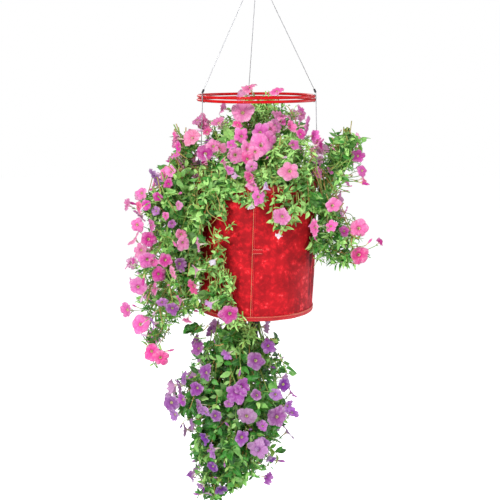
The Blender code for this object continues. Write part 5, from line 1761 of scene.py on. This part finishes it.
# bright thin shoots that hang past the base cord; their brightness is painted light from a high
# tone
count = 15
azimuth = rng.uniform(-0.50, -0.18, count)
tips = polar(azimuth, rng.uniform(0.144, 0.156, count), BASE_Z + rng.uniform(-0.012, 0.030, count))
shoots("left_trail", tips, outward(azimuth), rng, reach=(0.002, 0.010), rise=(0.010, 0.030),
       turn_up=(0.000, 0.010), blade=(0.014, 0.024), slim=(0.16, 0.24), number=8, tone=1.10)

# right trail: a spray above the rim and a shorter fall
fill("right_trail",
     (RIGHT, 185, 0.30, (0.015, 0.050), (-0.020, 0.045), (-0.006, 0.016), SMALL, NARROW, 7, 0.58),
     (RIGHT[2:8], 40, 0.5, (0.015, 0.040), (-0.010, 0.040), (-0.004, 0.016), BROAD, OVATE, 6,
      0.68))
tips, azimuth = fringe(40, (0.55, 1.55), (0.142, 0.172), (-0.005, 0.105),
                       share=lambda azimuth: 0.4 + 0.6 * (azimuth - 0.55))
shoots("right_trail", tips, outward(azimuth), rng, reach=(0.004, 0.016), rise=(0.015, 0.050),
       turn_up=(-0.004, 0.014), blade=SMALL, slim=NARROW, number=7, tone=0.60)
tips, azimuth = fringe(34, (0.98, 1.62), (0.144, 0.176), (0.085, 0.178))
shoots("right_trail", tips, unit(outward(azimuth) + (0.5, 0, 0)), rng, reach=(0.004, 0.024),
       rise=(-0.004, 0.030), turn_up=(-0.004, 0.014), blade=SMALL, slim=NARROW, number=7,
       tone=0.62, spread=1.15)

fill("back_trail",
     (BACK, 250, 0.40, (0.015, 0.045), (0.000, 0.055), (-0.004, 0.020), SMALL, NARROW, 7, 0.68),
     (BACK, 70, 0.55, (0.015, 0.040), (0.000, 0.050), (-0.004, 0.020), BROAD, OVATE, 6, 0.68))

# lower plant: grows out of the base, hangs, and turns its ends up
heart_rows = [(z, x, wide * 0.78, y, deep * 0.78) for z, x, wide, y, deep in LOWER_ROWS]
# the heart of the lower plant takes a tone below zero: painted shade inside it
fill("lower_plant",
     (heart_rows, 150, 0.30, (0.020, 0.055), (0.010, 0.060), (0.000, 0.024), SMALL, OVATE, 7,
      -0.05),
     (LOWER_ROWS, 190, 0.72, (0.020, 0.060), (0.010, 0.070), (0.000, 0.024), (0.018, 0.031),
      (0.32, 0.54), 7, 0.42),
     (LOWER_ROWS[:9], 120, 0.5, (0.020, 0.050), (0.010, 0.060), (0.000, 0.022), BROAD, OVATE, 6,
      0.24),
     (LOWER_ROWS[7:], 95, 0.20, (0.015, 0.045), (0.000, 0.050), (0.000, 0.024), (0.020, 0.036),
      (0.34, 0.56), 6, 0.36))
# under the base: bright narrow shoots at the front and dark broad leaves to either side; the
# brightness is painted light from a high tone, the darkness painted shade from a low one
tips, azimuth = fringe(20, (-0.95, -0.05), (0.030, 0.085), (0.020, 0.085), level=BASE_Z)
shoots("lower_plant", tips, outward(azimuth), rng, reach=(0.012, 0.035), rise=(-0.010, 0.020),
       turn_up=(0.000, 0.014), blade=(0.018, 0.030), slim=(0.15, 0.25), number=9, tone=1.05)
# number, range of x, range of drop below the base, tone
for count, x_range, drop_range, tone in (
        (8, (0.018, 0.050), (0.048, 0.112), -0.15), (12, (0.028, 0.076), (0.122, 0.178), 0.12),
        (16, (-0.140, -0.050), (0.022, 0.075), 0.05), (5, (-0.150, -0.118), (0.000, 0.040), 0.0)):
    tips = np.stack([rng.uniform(*x_range, count), rng.uniform(-0.095, -0.035, count),
                     BASE_Z - rng.uniform(*drop_range, count)], -1)
    away = unit(np.stack([tips[:, 0] + 0.01, tips[:, 1] * 0.5, 0 * tips[:, 0]], -1))
    shoots("lower_plant", tips, away, rng, reach=(0.012, 0.032), rise=(-0.006, 0.024),
           turn_up=(0.000, 0.012), blade=(0.024, 0.034), slim=(0.55, 0.78), number=4, tone=tone)


# ------------------------------------------------------------------ main stems
def rim_stems(body, centre, wide, count=12):
    """Stems from the pot over the rim into a trail, curving from one to the other; the mesh is
    attached to neither body.
    """
    azimuth = centre + rng.uniform(-wide, wide, count)
    over = polar(azimuth, rng.uniform(0.143, 0.152, count),
                 RIM_TOP + rng.uniform(0.004, 0.030, count))
    ends, _ = tower(ROWS[body][3:], count, rng, 0.2)
    starts = polar(azimuth + rng.uniform(-0.3, 0.3, count), rng.uniform(0.06, 0.11, count),
                   RIM_TOP - rng.uniform(0.01, 0.03, count))
    along = np.linspace(0, 1, 12)
    path = np.concatenate([
        bezier(starts, (starts + over) / 2 + UP * 0.04, over, along)[:, :-1],
        bezier(over, over + polar(azimuth, 0.02, -0.012), ends, along)], 1)
    radial = np.hypot(path[..., 0], path[..., 1])
    low = (radial > 0.118) & (radial < 0.142) & (path[..., 2] < RIM_TOP + 0.006)
    path[..., 2] = np.where(low, RIM_TOP + 0.006, path[..., 2])
    crossing = Sheet()
    radii = rng.uniform(0.0010, 0.0018, count)[:, None] * np.linspace(1.2, 0.55, path.shape[1])
    tube(crossing, path, radii, stem=rng.uniform(0.15, 0.95, count))
    obj = crossing.build("rim_stems_" + body, STEM)
    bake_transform(obj)


for body, centre, wide in (("left_trail", -1.50, 0.75), ("right_trail", 1.50, 0.60),
                           ("back_trail", math.pi, 0.60)):
    rim_stems(body, centre, wide)

# out of the collar into the lower plant: one stem in the middle and six round it
bundle = wood["lower_plant"]
count = 7
turn = circle(count) + 0.33
inner = np.where(np.arange(count) == 0, 0.0, 0.0058)
x, y = inner * np.cos(turn), inner * np.sin(turn)
start = np.stack([x, y, np.full(count, COLLAR_TOP - 0.0035)], -1)
below = np.stack([x, y, np.full(count, COLLAR_BOTTOM - 0.004)], -1)
spread_out = np.stack([0.030 * np.cos(turn) - 0.010, 0.030 * np.sin(turn),
                       np.full(count, BASE_Z - 0.085)], -1)
ends, _ = tower(LOWER_ROWS[3:], count, rng, 0.1)
along = np.linspace(0, 1, 9)
path = np.concatenate([
    bezier(start, (start + below) / 2, below, along)[:, :-1],
    bezier(below, below - UP * 0.03, spread_out, along)[:, :-1],
    bezier(spread_out, spread_out * 2 - below, ends, along)], 1)
radii = (np.linspace(1.25, 0.6, path.shape[1])[None]
         * rng.uniform(0.0019, 0.0027, count)[:, None])
# four of the seven are near black: painted shade under the base
tube(bundle, path, radii, sides=8, stem=np.where(np.arange(count) % 3 == 0, 0.1, -0.6))
# stems and roots that hang under the collar, near black: painted shade under the base
count = 16
turn = rng.uniform(0, TAU, count)
start = np.stack([0.006 * np.cos(turn), 0.006 * np.sin(turn),
                  np.full(count, COLLAR_BOTTOM + 0.001)], -1)
end = np.stack([rng.uniform(-0.026, 0.012, count), rng.uniform(-0.030, 0.020, count),
                BASE_Z - rng.uniform(0.030, 0.085, count)], -1)
bend = (start + end) / 2 + rng.normal(size=(count, 3)) * 0.004
tube(bundle, bezier(start, bend, end, np.linspace(0, 1, 8)),
     rng.uniform(0.0014, 0.0028, count)[:, None]
     * np.array((1.0, 1.1, 0.9, 1.05, 0.85, 0.8, 0.6, 0.2)), stem=-0.6)
# fine side stems that radiate under the collar; some are partly near black, as painted shade
count = 14
turn = rng.uniform(0, TAU, count)
start = np.stack([0.004 * np.cos(turn), 0.004 * np.sin(turn),
                  COLLAR_BOTTOM - rng.uniform(0.001, 0.03, count)], -1)
ends, _ = tower(LOWER_ROWS[1:6], count, rng, 0.2)
bend = start * 0.4 + ends * 0.6 + UP * rng.uniform(0.0, 0.028, (count, 1))
path = bezier(start, bend, ends, np.linspace(0, 1, 12))
path[..., 2] = np.minimum(path[..., 2], COLLAR_BOTTOM - 0.001)
tube(bundle, path, rng.uniform(0.0008, 0.0013, count)[:, None] * np.linspace(1.2, 0.6, 12),
     sides=5, stem=rng.uniform(-0.25, 0.55, count))

# buds: number, distance off the tower, tints
for body, count, off, tints in (
        ("planter", 20, 0.008, "PLM"), ("left_trail", 30, 0.008, "PLM"),
        ("right_trail", 22, 0.008, "PLM"), ("back_trail", 18, 0.008, "PLM"),
        ("lower_plant", 26, 0.002, "UVB")):
    tips, out = tower(ROWS[body], count, rng, 0.95)
    buds(body, tips + out * off, out, rng, tints)

for body, (node, _, _) in PLANTS.items():
    green[body].install("leaves_" + body, LEAF, body, "foliage", [node])
    wood[body].install("stems_" + body, STEM, body, "stems",
                       ["lower_stems"] if body == "lower_plant" else [])
    petals[body].install("blooms_" + body, PETAL, body)


# ------------------------------------------------------------------ floor, light and camera
def floor_material():
    sh = Shader("studio_floor")
    tone = sh.mix(sh.noise(scale=3.0), (0.93, 0.93, 0.93), (0.97, 0.97, 0.97))
    surface = sh.principled(base_color=tone, roughness=0.75)
    # the floor is evenly lit for the eye, and bounces only its own share of light
    strength = sh.make("ShaderNodeLightPath", "Is Camera Ray") * 0.60
    even = sh.make("ShaderNodeEmission", 0, {"Color": (1.0, 1.0, 1.0), "Strength": strength})
    return sh.finish(sh.make("ShaderNodeAddShader", 0, {0: surface, 1: even}))


FLOOR_HALF = 9.0
z = cad_lo[2] - 0.30
floor = Sheet()
floor.add([(x * FLOOR_HALF, y * FLOOR_HALF, z) for x, y in ((-1, -1), (1, -1), (1, 1), (-1, 1))],
          [np.array([[0, 1, 2, 3]])])
floor.build("studio_floor", floor_material())
target = (cad_lo + cad_hi) / 2


def soft_light(name, at, size, power, color=(1, 1, 1)):
    """A rectangle of light aimed at the middle of the planter."""
    data = bpy.data.lights.new(name, "AREA")
    data.shape = "RECTANGLE"
    data.size, data.size_y = size
    data.energy = power
    data.color = color
    made = bpy.data.objects.new(name, data)
    made.location = at
    made.rotation_euler = (Vector(target) - Vector(at)).to_track_quat("-Z", "Y").to_euler()
    scene.collection.objects.link(made)


soft_light("key", at=(-1.3, -2.5, 1.0), size=(0.8, 0.8), power=102)
soft_light("fill", at=(2.3, -2.1, -0.15), size=(1.3, 1.8), power=26, color=(0.97, 0.98, 1.0))
soft_light("side_strip", at=(1.5, 0.55, -0.65), size=(0.5, 1.6), power=16, color=(0.90, 0.92, 1.0))
soft_light("back", at=(-1.2, 2.3, 0.5), size=(1.6, 1.2), power=30)
soft_light("low", at=(0.3, -1.6, -1.5), size=(1.8, 0.8), power=5)


def studio_world():
    """White to the camera, a dimmer cool white to everything it lights."""
    sh = Shader("studio", bpy.data.worlds, "ShaderNodeOutputWorld")
    camera_ray = sh.make("ShaderNodeLightPath", "Is Camera Ray")
    seen = sh.make("ShaderNodeBackground", 0, {"Strength": 1.0, "Color": (1, 1, 1)})
    lit = sh.make("ShaderNodeBackground", 0, {"Strength": 0.44, "Color": (0.98, 0.99, 1.0)})
    return sh.finish(sh.make("ShaderNodeMixShader", 0, {0: camera_ray, 1: lit, 2: seen}))


scene.world = studio_world()
scene.view_settings.view_transform = "Standard"

camera_data = bpy.data.cameras.new("camera")
camera_data.lens, camera_data.sensor_width = 75.9, 36.0
camera_data.clip_start, camera_data.clip_end = 0.05, 50.0
camera = bpy.data.objects.new("camera", camera_data)
camera.location = (-0.0143, -2.339, -0.286)
camera.rotation_euler = (math.radians(79.4), 0, 0)
scene.collection.objects.link(camera)
scene.camera = camera

bpy.context.view_layer.update()
